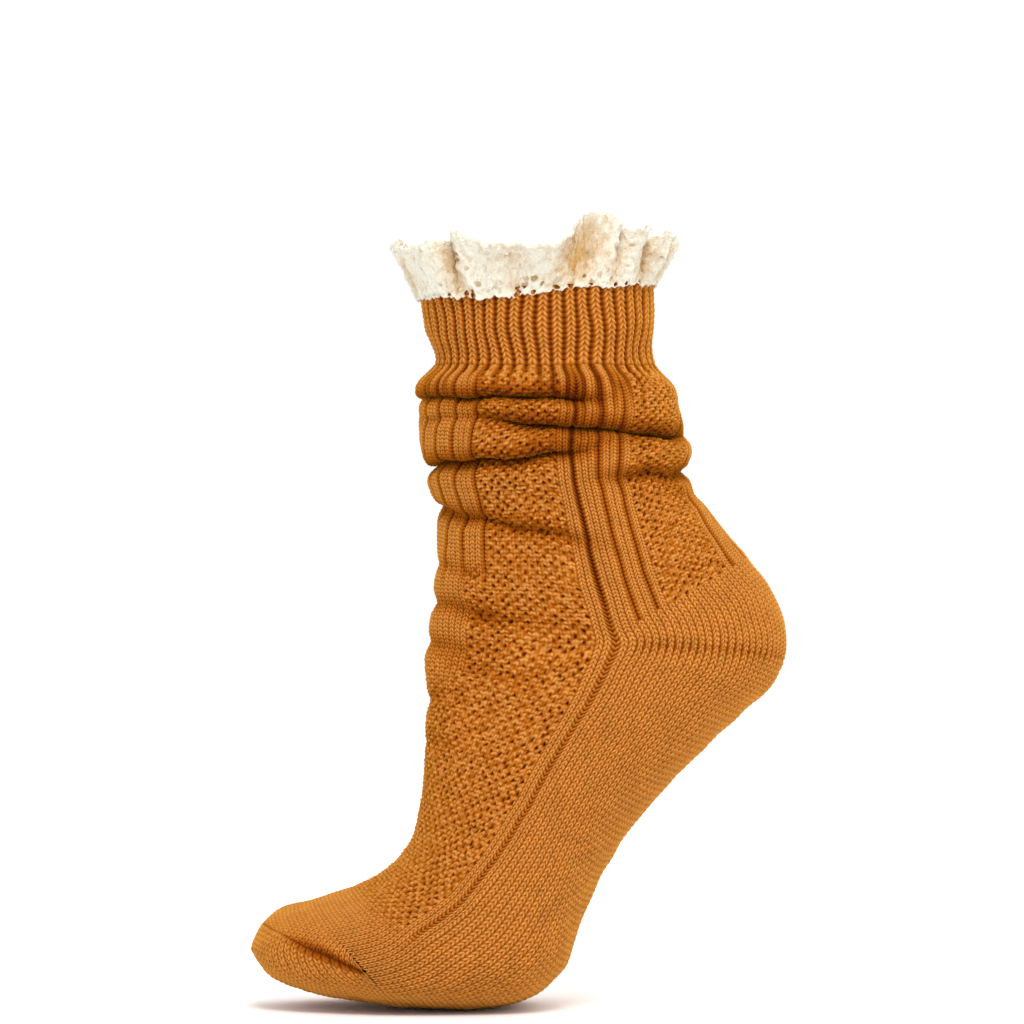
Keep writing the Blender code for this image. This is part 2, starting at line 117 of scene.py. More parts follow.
SECTIONS = (
    Section("cuff top", -41.0, -2.5, 2.0, 0.0, 41.0, 3.0, 36.0, 2.0, 2.0),
    Section("cuff middle", -39.0, -14.5, 3.0, -13.5, 41.0, -12.0, 35.5, 2.0, 2.0),
    Section("cuff bottom", -36.0, -26.5, 4.0, -27.0, 41.5, -26.5, 35.0, 2.0, 2.0),
    Section("first roll", -43.0, -34.0, 5.0, -33.5, 48.5, -34.5, 39.5, 2.0, 2.0),
    Section("second roll", -41.5, -43.5, 5.5, -42.0, 50.5, -43.0, 41.0, 2.0, 2.0),
    Section("third roll", -40.5, -56.0, 8.0, -55.5, 54.5, -55.0, 40.0, 2.0, 2.0),
    Section("fourth roll", -38.5, -67.5, 12.0, -66.5, 54.0, -64.5, 37.0, 2.0, 2.0),
    Section("ankle", -35.0, -77.0, 16.5, -75.5, 58.0, -74.0, 34.5, 2.0, 2.0),
    Section("under the ankle", -35.0, -88.0, 21.0, -89.0, 63.5, -81.0, 33.5, 2.0, 2.0),
    Section("above the heel", -36.0, -100.5, 25.5, -102.0, 68.0, -87.0, 32.5, 2.0, 2.1),
    Section("heel turn starts", -37.5, -114.0, 31.0, -118.0, 74.0, -94.0, 31.5, 2.0, 2.2),
    Section("upper heel", -38.0, -118.0, 32.0, -120.0, 82.0, -104.5, 31.5, 2.0, 2.3),
    Section("heel turn", -38.5, -122.0, 32.8, -122.5, 87.5, -122.0, 31.5, 2.0, 2.3),
    Section("lower heel", -38.8, -126.5, 32.0, -125.5, 83.5, -136.5, 31.5, 2.0, 2.3),
    Section("heel turn ends", -39.0, -131.5, 30.5, -128.5, 72.0, -147.5, 32.0, 2.0, 2.3),
    Section("back of the arch", -39.0, -143.0, 24.0, -141.0, 58.5, -160.5, 32.5, 2.0, 2.3),
    Section("arch", -39.5, -155.0, 15.5, -154.5, 46.0, -173.0, 33.0, 2.0, 2.4),
    Section("instep", -40.0, -168.0, 7.5, -167.5, 33.5, -187.5, 34.5, 2.0, 2.5),
    Section("front of the arch", -41.0, -179.5, -1.0, -182.0, 24.0, -202.0, 37.0, 2.0, 2.6),
    Section("behind the ball", -45.0, -193.0, -12.0, -199.0, 16.0, -219.0, 41.0, 2.0, 2.8),
    Section("ball", -54.5, -203.5, -25.5, -215.0, 8.5, -238.0, 44.5, 2.0, 3.0),
    Section("under the ball", -64.0, -208.5, -38.0, -224.5, -5.5, -248.2, 46.0, 2.0, 2.9),
    Section("before the toes", -72.0, -211.5, -48.0, -231.5, -32.0, -250.5, 45.0, 2.1, 2.8),
    Section("toe starts", -79.0, -213.5, -60.0, -235.0, -48.0, -249.5, 42.5, 2.2, 2.6),
    Section("toes", -86.0, -215.5, -73.0, -235.0, -66.0, -247.5, 37.5, 2.2, 2.5),
    Section("ends of the toes", -92.5, -218.5, -85.0, -233.5, -81.5, -244.5, 30.0, 2.2, 2.4),
    Section("toe cap", -97.0, -223.0, -94.0, -231.5, -93.0, -240.0, 21.0, 2.1, 2.2),
    Section("toe tip", -99.3, -228.0, -98.8, -230.5, -98.5, -233.5, 9.5, 2.0, 2.0),
    Section("toe end", -100.1, -230.7, -100.1, -230.7, -100.1, -230.7, 0.0, 2.0, 2.0),
)


class Crease(NamedTuple):
    """A crease that runs round the tube. Angles start at the front and pass the side facing -Y."""

    name: str
    from_deg: float
    to_deg: float
    fade_in: float
    fade_out: float
    from_z: float
    middle_z: float
    to_z: float
    depth: float
    half_height: float


CREASES = (
    Crease("under the first roll", -34, 124, 60, 36, -40.5, -36.8, -38.5, 7.0, 2.9),
    Crease("under the second roll", 44, 206, 42, 60, -44.5, -49.0, -50.5, 7.5, 2.9),
    Crease("under the third roll", -84, 120, 50, 42, -57.5, -61.3, -55.0, 6.5, 3.0),
    Crease("behind the ankle", 86, 262, 46, 60, -67.0, -63.2, -62.0, 3.6, 3.0),
    Crease("under the fourth roll", -56, 104, 44, 40, -74.0, -78.0, -91.0, 3.3, 3.0),
    Crease("far side, upper", 196, 330, 40, 50, -42.0, -38.0, -40.0, 6.0, 2.9),
    Crease("far side, lower", 214, 300, 36, 44, -54.0, -51.5, -56.0, 6.0, 3.0),
    Crease("far side, ankle", 236, 318, 36, 36, -70.0, -73.0, -79.0, 3.0, 3.4),
    Crease("instep, upper", -44, 70, 36, 44, -106.0, -110.0, -115.0, 1.9, 3.2),
    Crease("instep, middle", -50, 62, 36, 40, -125.0, -123.5, -127.0, 1.7, 3.2),
    Crease("instep, lower", -62, 44, 40, 40, -146.0, -143.0, -141.0, 1.4, 3.4),
)

# Softer ones that only the drawn cloth has, with a raised roll where the depth is below zero.
FINE_CREASES = (
    Crease("shoulder of the first roll", 20, 170, 50, 60, -31.5, -30.5, -32.0, -0.9, 2.6),
    Crease("dip in the second roll", -10, 96, 36, 40, -44.0, -45.0, -43.0, 1.2, 2.0),
    Crease("dip in the third roll", 60, 150, 30, 30, -56.0, -53.5, -55.0, 1.0, 2.0),
    Crease("above the heel, behind", 120, 240, 36, 36, -74.0, -71.0, -74.0, 1.1, 3.0),
    Crease("far side, between the rolls", 206, 290, 30, 30, -47.0, -45.5, -48.0, 1.2, 2.2),
    Crease("ankle, inner fold", -30, 60, 30, 30, -92.0, -97.0, -100.0, 1.1, 2.8),
    Crease("instep, crossing fold", 20, 88, 30, 36, -112.0, -116.0, -122.0, 1.2, 2.6),
    Crease("instep, second crossing", 10, 80, 30, 36, -129.0, -133.0, -141.0, 1.1, 2.6),
    Crease("instep, lowest fold", -40, 50, 36, 36, -160.0, -158.0, -156.0, 0.8, 3.4),
    Crease("far instep, upper", 288, 350, 26, 26, -112.0, -116.0, -118.0, 1.0, 3.0),
    Crease("far instep, lower", 280, 344, 26, 26, -134.0, -137.0, -142.0, 0.9, 3.0),
)


# How far the leg is twisted round towards its back, in degrees, by the section.
LEG_TWIST = (
    ("cuff top", 20.0),
    ("second roll", 17.0),
    ("third roll", 11.0),
    ("ankle", 3.5),
    ("above the heel", 0.0),
)

# The cleft of a crease across its line, in its half heights. It ends in an edge, and the roll above
# it hangs over.
CREASE_EDGE = 0.4  # share of the depth that the sharp edge takes, in the deeper creases
EDGE_DEPTHS = (2.0, 5.0)  # millimetres deep, from no sharp edge to the whole of it
CREASE_SHARPNESS = 2.6
ROLL_LIP = 0.9  # how far above the line the roll hangs down most
ROLL_SPREAD = 0.78
ROLL_DROP = 0.34  # of the roll, as a share of the crease's depth
UNDERSIDE_SHADE = 1.1  # painted shade beneath the roll: how dark it is, in crease depths for each drop
WANDER = 0.45  # of a crease's line up and down, in millimetres
WANDER_WAVES = ((1.0, 6, 2.3), (0.7, 13, 1.0))  # share, waves round the tube, shift for each crease


def eased(share: np.ndarray) -> np.ndarray:
    """Smooth step from 0 to 1, which clips what is below 0 and above 1."""
    share = np.clip(share, 0, 1)
    return share * share * (3 - 2 * share)


class SockForm:
    """The smooth outer face of the tube: its sections and its creases, but no stitches."""

    HALF_WIDTH, FRONT_FULL, BACK_FULL = 6, 7, 8  # their rows among a section's numbers
    RINGS = 260  # rings whose quarters are measured
    FINE = 120  # angles at which each quarter is measured
    STRETCHES = 40  # equal stretches that a quarter is parted into

    def __init__(self, sections: Sequence[Section], creases: Sequence[Crease]) -> None:
        """Reads the tables.

        Args:
            sections: Rings of the tube from the cuff to the tip of the toe.
            creases: Creases sunk into it.
        """
        self.names = [section.name for section in sections]
        self.rows = np.array([section[1:] for section in sections])
        self.rows[:, : self.HALF_WIDTH + 1] *= MM
        steps = np.diff(self.rows[:, : self.HALF_WIDTH], axis=0).reshape(-1, 3, 2)
        lengths = np.linalg.norm(steps, axis=2).mean(axis=1)
        self.stations = np.concatenate([[0.0], np.cumsum(lengths)])
        self.slopes = np.gradient(self.rows, self.stations, axis=0)
        self.creases = creases
        self.twist = np.interp(
            self.stations,
            [self.station(name) for name, _ in LEG_TWIST],
            [degrees / 90 for _, degrees in LEG_TWIST],
        )
        self.quarters = self._even_quarters()

    def station(self, name: str) -> float:
        """The length along the tube at a named section, in metres."""
        return float(self.stations[self.names.index(name)])

    def _even_quarters(self) -> np.ndarray:
        """Angles that part each ring's front and back quarters into stretches of equal length.

        Returns:
            The angles, with a row for each ring.
        """
        lengths = np.linspace(0, self.stations[-1], self.RINGS)[:, None]
        found = []
        for first in (0.0, pi / 2):
            angles = np.linspace(first, first + pi / 2, self.FINE)[None]
            points = self.envelope(lengths + 0 * angles, angles + 0 * lengths)
            steps = np.linalg.norm(np.diff(points, axis=1), axis=2)
            run = np.hstack([np.zeros((self.RINGS, 1)), np.cumsum(steps, axis=1)])
            share = run + np.linspace(0, TINY_LENGTH, self.FINE)
            share = share / (run[:, -1:] + TINY_LENGTH)
            even = np.linspace(0, 1, self.STRETCHES + 1)
            found.append([np.interp(even, row, angles[0]) for row in share])
        return np.concatenate([found[0], np.array(found[1])[:, 1:]], axis=1)

    def columns(self, lengths: np.ndarray) -> np.ndarray:
        """Section numbers at any lengths, on a smooth curve through the table.

        Args:
            lengths: Lengths along the tube, in any shape.

        Returns:
            The nine numbers of the table, as an array whose first axis holds them.
        """
        flat = np.asarray(lengths, float).ravel()
        row = np.searchsorted(self.stations, flat, side="right") - 1
        row = np.clip(row, 0, len(self.stations) - 2)
        span = (self.stations[row + 1] - self.stations[row])[:, None]
        share = (flat - self.stations[row])[:, None] / span
        found = (
            self.rows[row] * (1 + 2 * share) * (1 - share) ** 2
            + self.rows[row + 1] * share**2 * (3 - 2 * share)
            + self.slopes[row] * span * share * (1 - share) ** 2
            - self.slopes[row + 1] * span * share**2 * (1 - share)
        )
        return found.T.reshape((9,) + np.shape(lengths))

    def envelope(self, lengths: np.ndarray, angles: np.ndarray) -> np.ndarray:
        """Points of the tube without its creases.

        Args:
            lengths: Lengths along the tube.
            angles: Angles round it, in an array of the same shape: 0 in front and pi behind.

        Returns:
            Points, with the coordinates on the last axis.
        """
        found = self.columns(lengths)
        front_x, front_z, side_x, side_z, back_x, back_z, width, front_full, back_full = found
        cosine, sine = np.cos(angles), np.sin(angles)
        ahead = cosine >= 0
        power = 2 / np.where(ahead, front_full, back_full)
        along = np.abs(cosine) ** power
        across = np.sign(sine) * np.abs(sine) ** power
        x = side_x + np.where(ahead, front_x - side_x, back_x - side_x) * along
        z = side_z + np.where(ahead, front_z - side_z, back_z - side_z) * along
        return np.stack([x, -width * across, z], axis=-1)

    def outward(self, lengths: np.ndarray, angles: np.ndarray) -> np.ndarray:
        """Unit normals of the tube without its creases, pointing out.

        Args:
            lengths: Lengths along the tube.
            angles: Angles round it, in an array of the same shape.

        Returns:
            Normals, with the coordinates on the last axis.
        """
        step, turn = 0.1 * MM, 0.002  # short enough that the tube is straight over them
        low = np.clip(lengths - step, 0, self.stations[-1])
        high = np.clip(lengths + step, 0, self.stations[-1])
        down = self.envelope(high, angles) - self.envelope(low, angles)
        around = self.envelope(lengths, angles + turn) - self.envelope(lengths, angles - turn)
        normals = np.cross(down, around)
        return normals / np.maximum(np.linalg.norm(normals, axis=-1, keepdims=True), TINY)

    def crease_moves(
        self, angles: np.ndarray, heights: np.ndarray
    ) -> tuple[np.ndarray, np.ndarray]:
        """How far the creases sink the cloth, and how far the roll above hangs down over them.

        Args:
            angles: Angles round the tube.
            heights: Heights of the same points, in metres.

        Returns:
            Depths and drops in metres.
        """
        depths, drops = np.zeros_like(heights), np.zeros_like(heights)
        for number, crease in enumerate(self.creases):
            start, end = radians(crease.from_deg), radians(crease.to_deg)
            past = np.mod(angles - start, 2 * pi)
            strength = eased(past / radians(crease.fade_in))
            strength = strength * eased((end - start - past) / radians(crease.fade_out))
            share = past / (end - start)
            line = MM * (
                crease.from_z * (1 - share) * (1 - 2 * share)
                + crease.middle_z * 4 * share * (1 - share)
                + crease.to_z * share * (2 * share - 1)
            )
            waves = sum(
                part * np.sin(count * angles + shift * number)
                for part, count, shift in WANDER_WAVES
            )
            above = (heights - line - WANDER * MM * waves) / (crease.half_height * MM)
            edge = CREASE_EDGE * float(np.interp(crease.depth, EDGE_DEPTHS, (0, 1)))
            cleft = (1 - edge) * np.exp(-(above**2))
            cleft = cleft + edge * np.exp(-CREASE_SHARPNESS * np.abs(above))
            lip = np.exp(-(((above - ROLL_LIP) / ROLL_SPREAD) ** 2))
            depths += crease.depth * MM * strength * cleft
            drops += max(crease.depth, 0) * ROLL_DROP * MM * strength * lip
        return depths, drops

    def cloth(self, lengths: np.ndarray, angles: np.ndarray) -> np.ndarray:
        """Points of the tube with its creases.

        Args:
            lengths: Lengths along the tube.
            angles: Angles round it, in an array of the same shape.

        Returns:
            Points, with the coordinates on the last axis.
        """
        points = self.envelope(lengths, angles)
        depths, drops = self.crease_moves(angles, points[..., 2])
        points = points - self.outward(lengths, angles) * depths[..., None]
        points[..., 2] -= drops
        return points

    def angle_of(self, lengths: np.ndarray, wales: np.ndarray) -> np.ndarray:
        """The angle of a wale. The stitches are spaced evenly round each quarter of the oval.

        Args:
            lengths: Lengths along the tube.
            wales: Wales, counted from the middle of the front, in an array of the same shape.

        Returns:
            Angles in radians.
        """
        wale = np.mod(wales + BACK_WALE, WALES) - BACK_WALE
        past_side = (np.abs(wale) - SIDE_WALE) / (BACK_WALE - SIDE_WALE)
        in_front = np.abs(wale) <= SIDE_WALE
        quarter = np.where(in_front, wale / SIDE_WALE, np.sign(wale) * (1 + past_side))
        quarter = quarter + np.interp(lengths, self.stations, self.twist)
        turned = np.mod(quarter + 2, 4) - 2
        ring = np.clip(lengths / self.stations[-1], 0, 1) * (self.RINGS - 1)
        stretch = np.abs(turned) * self.STRETCHES
        above = np.clip(ring, 0, self.RINGS - 2).astype(int)
        before = np.clip(stretch, 0, 2 * self.STRETCHES - 1).astype(int)
        below, beside = ring - above, stretch - before
        table = self.quarters
        upper = table[above, before] * (1 - beside) + table[above, before + 1] * beside
        lower = table[above + 1, before] * (1 - beside) + table[above + 1, before + 1] * beside
        angle = upper * (1 - below) + lower * below
        return np.sign(turned) * angle + (quarter - turned) * pi / 2


class Placed(NamedTuple):
    """Points on the cloth's smooth face, with their outward normals and their depth in a crease,
    counted deeper under a roll, which sets the painted shade there.
    """

    points: np.ndarray
    normals: np.ndarray
    sunk: np.ndarray


class WalePaths:
    """Paths of wales over the form, each measured along the cloth from its start to its end."""

    SAMPLES = 420
    SPACING = 0.5  # wales between two sampled paths
    SHORTEST = 0.2 * MM  # a path counts as this long at least

    def __init__(
        self,
        form: SockForm,
        first: float,
        last: float,
        path: Callable[[np.ndarray, np.ndarray], tuple[np.ndarray, np.ndarray]],
    ) -> None:
        """Samples the paths and spaces the samples evenly along each.

        Args:
            form: The form that the paths run over.
            first: First wale of the range.
            last: Last wale of the range.
            path: Gives (lengths, angles) for arrays of shares along the path and of wales.
        """
        count = int(round((last - first) / self.SPACING)) + 1
        self.first = first
        self.wales = np.linspace(first, last, count)
        share = np.linspace(0.0, 1.0, self.SAMPLES)[:, None] * np.ones((1, count))
        lengths, angles = path(share, self.wales[None] * np.ones((self.SAMPLES, 1)))
        points = form.cloth(lengths, angles)
        steps = np.linalg.norm(np.diff(points, axis=0), axis=2)
        run = np.vstack([np.zeros((1, count)), np.cumsum(steps, axis=0)])
        self.totals = run[-1]
        for k in range(count):
            even = np.linspace(0.0, run[-1, k], self.SAMPLES)
            lengths[:, k] = np.interp(even, run[:, k], lengths[:, k])
            angles[:, k] = np.interp(even, run[:, k], angles[:, k])
        self.lengths, self.angles = lengths, angles
        self.points = form.cloth(lengths, angles)
        # Depth in the creases, counted deeper under the rolls: it sets the painted shade there.
        heights = form.envelope(lengths, angles)[..., 2]
        depths, drops = form.crease_moves(angles, heights)
        self.sunk = (depths + UNDERSIDE_SHADE * drops)[..., None]
        down = np.gradient(self.points, axis=0)
        around = np.gradient(self.points, axis=1)
        normals = np.cross(down, around)
        size = np.linalg.norm(normals, axis=2, keepdims=True)
        self.normals = normals / np.maximum(size, TINY)

    def total(self, wales: np.ndarray) -> np.ndarray:
        """Lengths in metres of the paths of these wales."""
        return np.interp(wales, self.wales, self.totals)

    def run_to(self, wales: np.ndarray, length: float) -> np.ndarray:
        """How far along each wale's path a ring of the form lies.

        Args:
            wales: Wales in the sampled range.
            length: The ring's length along the tube.

        Returns:
            Distances along the cloth in metres.
        """
        share = np.linspace(0.0, 1.0, self.SAMPLES)
        runs = [
            np.interp(length, self.lengths[:, k], share) * self.totals[k]
            for k in range(len(self.wales))
        ]
        return np.interp(wales, self.wales, runs)

    def at(self, distances: np.ndarray, wales: np.ndarray) -> Placed:
        """Places on the cloth.

        Args:
            distances: Distances along the paths, as an array (rows, columns).
            wales: One wale for each column.

        Returns:
            The points and what is known of them. A distance past a path's end runs straight on.
        """
        last = len(self.wales) - 1.001  # just before the last column, which has none beside it
        column = np.clip((wales - self.first) / self.SPACING, 0, last)
        left = column.astype(int)
        beside = (column - left)[None, :, None]
        share = distances / np.maximum(self.total(wales)[None], self.SHORTEST)
        row = share * (self.SAMPLES - 1)
        above = np.clip(row, 0, self.SAMPLES - 2).astype(int)
        below = (row - above)[..., None]

        def mixed(values: np.ndarray) -> np.ndarray:
            """Mixes what four samples round each place say.

            Args:
                values: What each sample says.

            Returns:
                What each place says.
            """
            upper = values[above, left] * (1 - beside) + values[above, left + 1] * beside
            lower = values[above + 1, left] * (1 - beside) + values[above + 1, left + 1] * beside
            return upper * (1 - below) + lower * below

        normals = mixed(self.normals)
        normals /= np.maximum(np.linalg.norm(normals, axis=2, keepdims=True), TINY)
        return Placed(mixed(self.points), normals, mixed(self.sunk)[..., 0])


class Stitch(Enum):
    """Kinds of stitch, told by how their strands lie on the right side of the cloth."""

    KNIT = "two legs of a loop"
    GROOVE = "one purl wale between knit ribs"
    LADDER = "a wide purl bar"
    MOSS = "knit and purl by turns"


class StitchRelief(NamedTuple):
    """Heights of a stitch in millimetres, and how far its legs slant, as a share of a course."""

    edge: float  # between it and the wale beside it
    shoulders: tuple[float, float, float, float, float]  # at the other points across the wale
    gap: float  # how much lower it lies between one course and the next
    slant: float


RELIEF = {
    Stitch.KNIT: StitchRelief(-0.68, (-0.12, 0.0, -0.34, 0.0, -0.12), 0.42, 0.85),
    Stitch.GROOVE: StitchRelief(-0.34, (-0.3, -0.6, -1.15, -0.6, -0.3), 0.42, 0.3),
    Stitch.LADDER: StitchRelief(-0.42, (-0.3, -0.38, -0.48, -0.38, -0.3), 0.7, -0.6),
    Stitch.MOSS: StitchRelief(-0.45, (-0.26, -0.14, -0.3, -0.14, -0.26), 0.3, 0.3),
}
SLOT_DEPTH = 1.6  # of the deepest slots in a moss panel, in millimetres
SLOT_LEAST = 0.36  # depth of the shallowest, as a share of that
SLOT_SLIP = 0.55  # how far a slot lies from its even place, in wales and in pitches
SLOT_HALF_WIDTH = 0.2  # in wales
SLOT_HALF_HEIGHT = 0.34  # in pitches of the slots
SLOT_LEAN = 0.5  # how far a slot leans aside over its height
BAR_HEIGHT = 0.16  # of the purl bars between the slots, in millimetres
GRAIN = 0.2  # of the small lumps of a moss panel, in millimetres
PATCHES = 0.3  # by which the slots' depths differ from patch to patch
PATCH_WAVES = ((0.31, 0.9, 0.05), (0.0, 0.0, 0.17))  # pace by the wale, shift, pace by the course
BAR_LEAST = 0.4  # of a bar's height is left in the faintest
BAR_NARROWS = 0.45  # how soon a bar ends sideways, against a slot
LADDER_CLEFT = 0.8  # depth of the ladder where it is drawn together, in millimetres
GAP_AT_AN_EDGE = 0.35  # of a gap's depth is left on the line between two wales


def front_distance(wale: float) -> float:
    """How many wales a wale is from the middle of the front, on either side."""
    return abs((wale + BACK_WALE) % WALES - BACK_WALE)


def patterned(wale: int) -> Stitch:
    """The stitch of a wale of the leg.

    Args:
        wale: The wale.

    Returns:
        Its stitch.
    """
    distance = front_distance(wale)
    if distance == FRONT_LADDER:
        return Stitch.LADDER
    if distance in FRONT_GROOVES or distance in BACK_GROOVES:
        return Stitch.GROOVE
    panels = (FRONT_PANEL, BACK_PANEL)
    if any(panel[0] <= distance <= panel[1] for panel in panels):
        return Stitch.MOSS
    return Stitch.KNIT


def on_the_ankle(wale: int) -> Stitch:
    """The stitch of a wale of the ankle, where the front ribs have ended.

    Args:
        wale: The wale.

    Returns:
        Its stitch.
    """
    distance = front_distance(wale)
    if distance <= ANKLE_PANEL[1]:
        return Stitch.MOSS if distance >= ANKLE_PANEL[0] else Stitch.KNIT
    return patterned(wale)


def on_the_instep(wale: int) -> Stitch:
    """The stitch of a wale of the upper foot: the ankle's pattern in front, and plain behind."""
    return on_the_ankle(wale) if front_distance(wale) <= SIDE_WALE else Stitch.KNIT


def on_the_lower_instep(wale: int) -> Stitch:
    """The stitch of a wale of the lower instep, which is moss right across its middle.

    Args:
        wale: The wale.

    Returns:
        Its stitch.
    """
    distance = front_distance(wale)
    if distance <= FOOT_PANEL_END:
        return Stitch.MOSS
    return patterned(wale) if distance <= SIDE_WALE else Stitch.KNIT


def plain(wale: int) -> Stitch:
    """The stitch of every wale of the heel, the sole and the toe."""
    return Stitch.KNIT


@dataclass
class Lattice:
    """The mesh lattice of a piece: where each row and column lies, and its heights."""

    wales: np.ndarray  # of each column
    courses: np.ndarray  # (rows, columns), counted down the sock, for the moss pattern
    distances: np.ndarray  # (rows, columns), along the wales' paths
    heights: np.ndarray  # (rows, columns), in metres over the cloth's face
    shown: Optional[np.ndarray] = None  # the heights that its shade goes by, if others
    closed: bool = False  # the last column joins the first

    def indices(self) -> tuple[np.ndarray, np.ndarray]:
        """Numbers the lattice's vertices, giving one number to those that lie at one place.

        Returns:
            The vertex number at each place of the lattice, and the flat places of the vertices.
        """
        rows, columns = self.distances.shape
        moves = np.ones((rows, columns), bool)
        moves[1:] = np.diff(self.distances, axis=0) > SAME_PLACE
        numbers = np.arange(rows)[:, None] * np.ones((1, columns), int)
        last = np.maximum.accumulate(np.where(moves, numbers, 0), axis=0)
        place = last * columns + np.arange(columns)[None]
        used, index = np.unique(place, return_inverse=True)
        return index.reshape(rows, columns), used

    def triangles(self, index: np.ndarray) -> np.ndarray:
        """Triangles over the lattice, without those that shrink to a line.

        Args:
            index: The vertex number at each place.

        Returns:
            Corner numbers as an array (triangles, 3).
        """
        if self.closed:
            index = np.hstack([index, index[:, :1]])
        a, b = index[:-1, :-1].ravel(), index[:-1, 1:].ravel()
        c, d = index[1:, 1:].ravel(), index[1:, :-1].ravel()
        corners = np.concatenate([np.stack([a, d, b], axis=1), np.stack([b, d, c], axis=1)])
        whole = (
            (corners[:, 0] != corners[:, 1])
            & (corners[:, 1] != corners[:, 2])
            & (corners[:, 0] != corners[:, 2])
        )
        return corners[whole]


class StitchGrid:
    """Heights and slants of the stitches of a run of wales."""

    def __init__(self, first: int, count: int, stitch: Callable[[int], Stitch]) -> None:
        """Lays out the columns.

        Args:
            first: First wale.
            count: How many wales there are.
            stitch: Gives the stitch of a wale.
        """
        self.kinds = [stitch(wale) for wale in range(first, first + count)]
        self.numbers = np.repeat(np.arange(first, first + count), len(ACROSS_WALE))
        self.numbers = np.append(self.numbers, first + count)
        self.across = np.append(np.tile(ACROSS_WALE, count), 0.0)
        self.wales = self.numbers - 0.5 + self.across
        self.tent = 1 - np.abs(2 * self.across - 1)
        self.first, self.count, self.stitch = first, count, stitch

    def wales_from_front(self) -> np.ndarray:
        """How many wales each column is from the middle of the front, on either side."""
        return np.abs(np.mod(self.wales + BACK_WALE, WALES) - BACK_WALE)

    def _per_column(self, value: Callable[[StitchRelief], float]) -> np.ndarray:
        """Gives each column a number from the relief of the wale that it belongs to.

        Args:
            value: Takes the number from a relief.

        Returns:
            One number for each column.
        """
        values = [value(RELIEF[kind]) for kind in self.kinds]
        after = value(RELIEF[self.stitch(self.first + self.count)])
        return np.append(np.repeat(values, len(ACROSS_WALE)), after)

    def slants(self) -> np.ndarray:
        """How far each column's course lines lie up the wale, as a share of a course."""
        return self._per_column(lambda relief: relief.slant) * self.tent

    def tops(self) -> np.ndarray:
        """Height of each column at the middle of a course.

        Returns:
            Heights in millimetres.
        """
        rows = []
        before = RELIEF[self.stitch(self.first - 1)].edge
        for kind in self.kinds:
            relief = RELIEF[kind]
            rows.append([(before + relief.edge) / 2, *relief.shoulders])
            before = relief.edge
        last = (before + RELIEF[self.stitch(self.first + self.count)].edge) / 2
        return np.append(np.ravel(rows), last)

    def gaps(self) -> np.ndarray:
        """How much lower each column lies between two courses, in millimetres."""
        share = np.where(self.across == 0, GAP_AT_AN_EDGE, 1.0)
        return self._per_column(lambda relief: relief.gap) * share

    def _of_kind(self, kind: Stitch) -> np.ndarray:
        """1 for the columns of one kind of stitch, and 0 for the others."""
        return self._per_column(lambda relief: float(relief is RELIEF[kind]))

    def ladder(self, courses: np.ndarray) -> np.ndarray:
        """The cleft of the ladders where they are drawn together, on the leg.

        Args:
            courses: Course of each place, as an array (rows, columns).

        Returns:
            Heights to add, in millimetres.
        """
        inside = np.clip(1 - 2 * np.abs(self.wales_from_front() - FRONT_LADDER), 0, 1)[None]
        spread = LADDER_OPENS + LADDER_IS_OPEN
        opened = eased((courses - (LEG_COURSES - LADDER_OPENS)) / spread)
        return -LADDER_CLEFT * inside * (1 - opened) * self._of_kind(Stitch.LADDER)[None]

    def moss(self, courses: np.ndarray) -> np.ndarray:
        """Slots and bars of the moss panels.

        Args:
            courses: Course of each place, as an array (rows, columns).

        Returns:
            Heights to add, in millimetres.
        """
        mossy = self._of_kind(Stitch.MOSS)
        pitch = courses * MOSS_PITCH
        parity = (self.numbers % 2)[None]
        slot_number = np.round((pitch + parity) / 2).astype(int)
        draw = np.random.default_rng(SEED)
        uneven = draw.uniform(0, 1, size=(4, slot_number.max() + 2, WALES * 2))
        strength, slip, rise, lean = uneven[:, slot_number, self.numbers[None] + WALES]
        patch = sum(
            np.sin(across * self.wales[None] + shift + down * courses)
            for across, shift, down in PATCH_WAVES
        )
        strength = SLOT_LEAST + (1 - SLOT_LEAST) * np.clip(strength * (1 + PATCHES * patch), 0, 1)
        to_slot = (pitch + parity - 2 * slot_number + SLOT_SLIP * (rise - 0.5)) / SLOT_HALF_HEIGHT
        leaning = SLOT_LEAN * (lean - 0.5) * to_slot * SLOT_HALF_HEIGHT
        sideways = (self.across - 0.5)[None] + SLOT_SLIP * (slip - 0.5) + leaning
        sideways = sideways / SLOT_HALF_WIDTH
        to_bar = (np.mod(pitch + parity, 2) - 1) / SLOT_HALF_HEIGHT
        slots = strength * np.exp(-(sideways**2) - to_slot**2)
        bars = (BAR_LEAST + slip) * np.exp(-((sideways * BAR_NARROWS) ** 2) - to_bar**2)
        lumps = draw.uniform(-1, 1, size=(int(2 * courses.max()) + 3, WALES * 4))
        half_wales = np.floor(2 * (self.wales + 0.5)).astype(int)[None] + 2 * WALES
        grain = lumps[np.round(2 * courses).astype(int), half_wales]
        return mossy[None] * (BAR_HEIGHT * bars + GRAIN * grain - SLOT_DEPTH * slots)


def course_rows(count: int) -> tuple[np.ndarray, np.ndarray]:
    """Rows of the lattice over a number of courses.

    Args:
        count: How many courses there are.

    Returns:
        The course of each row, and whether it lies between two courses.
    """
    rows = (np.arange(count)[:, None] + np.array(DOWN_COURSE)[None]).ravel()
    rows = np.append(rows, float(count))
    return rows, np.isclose(rows, np.round(rows))


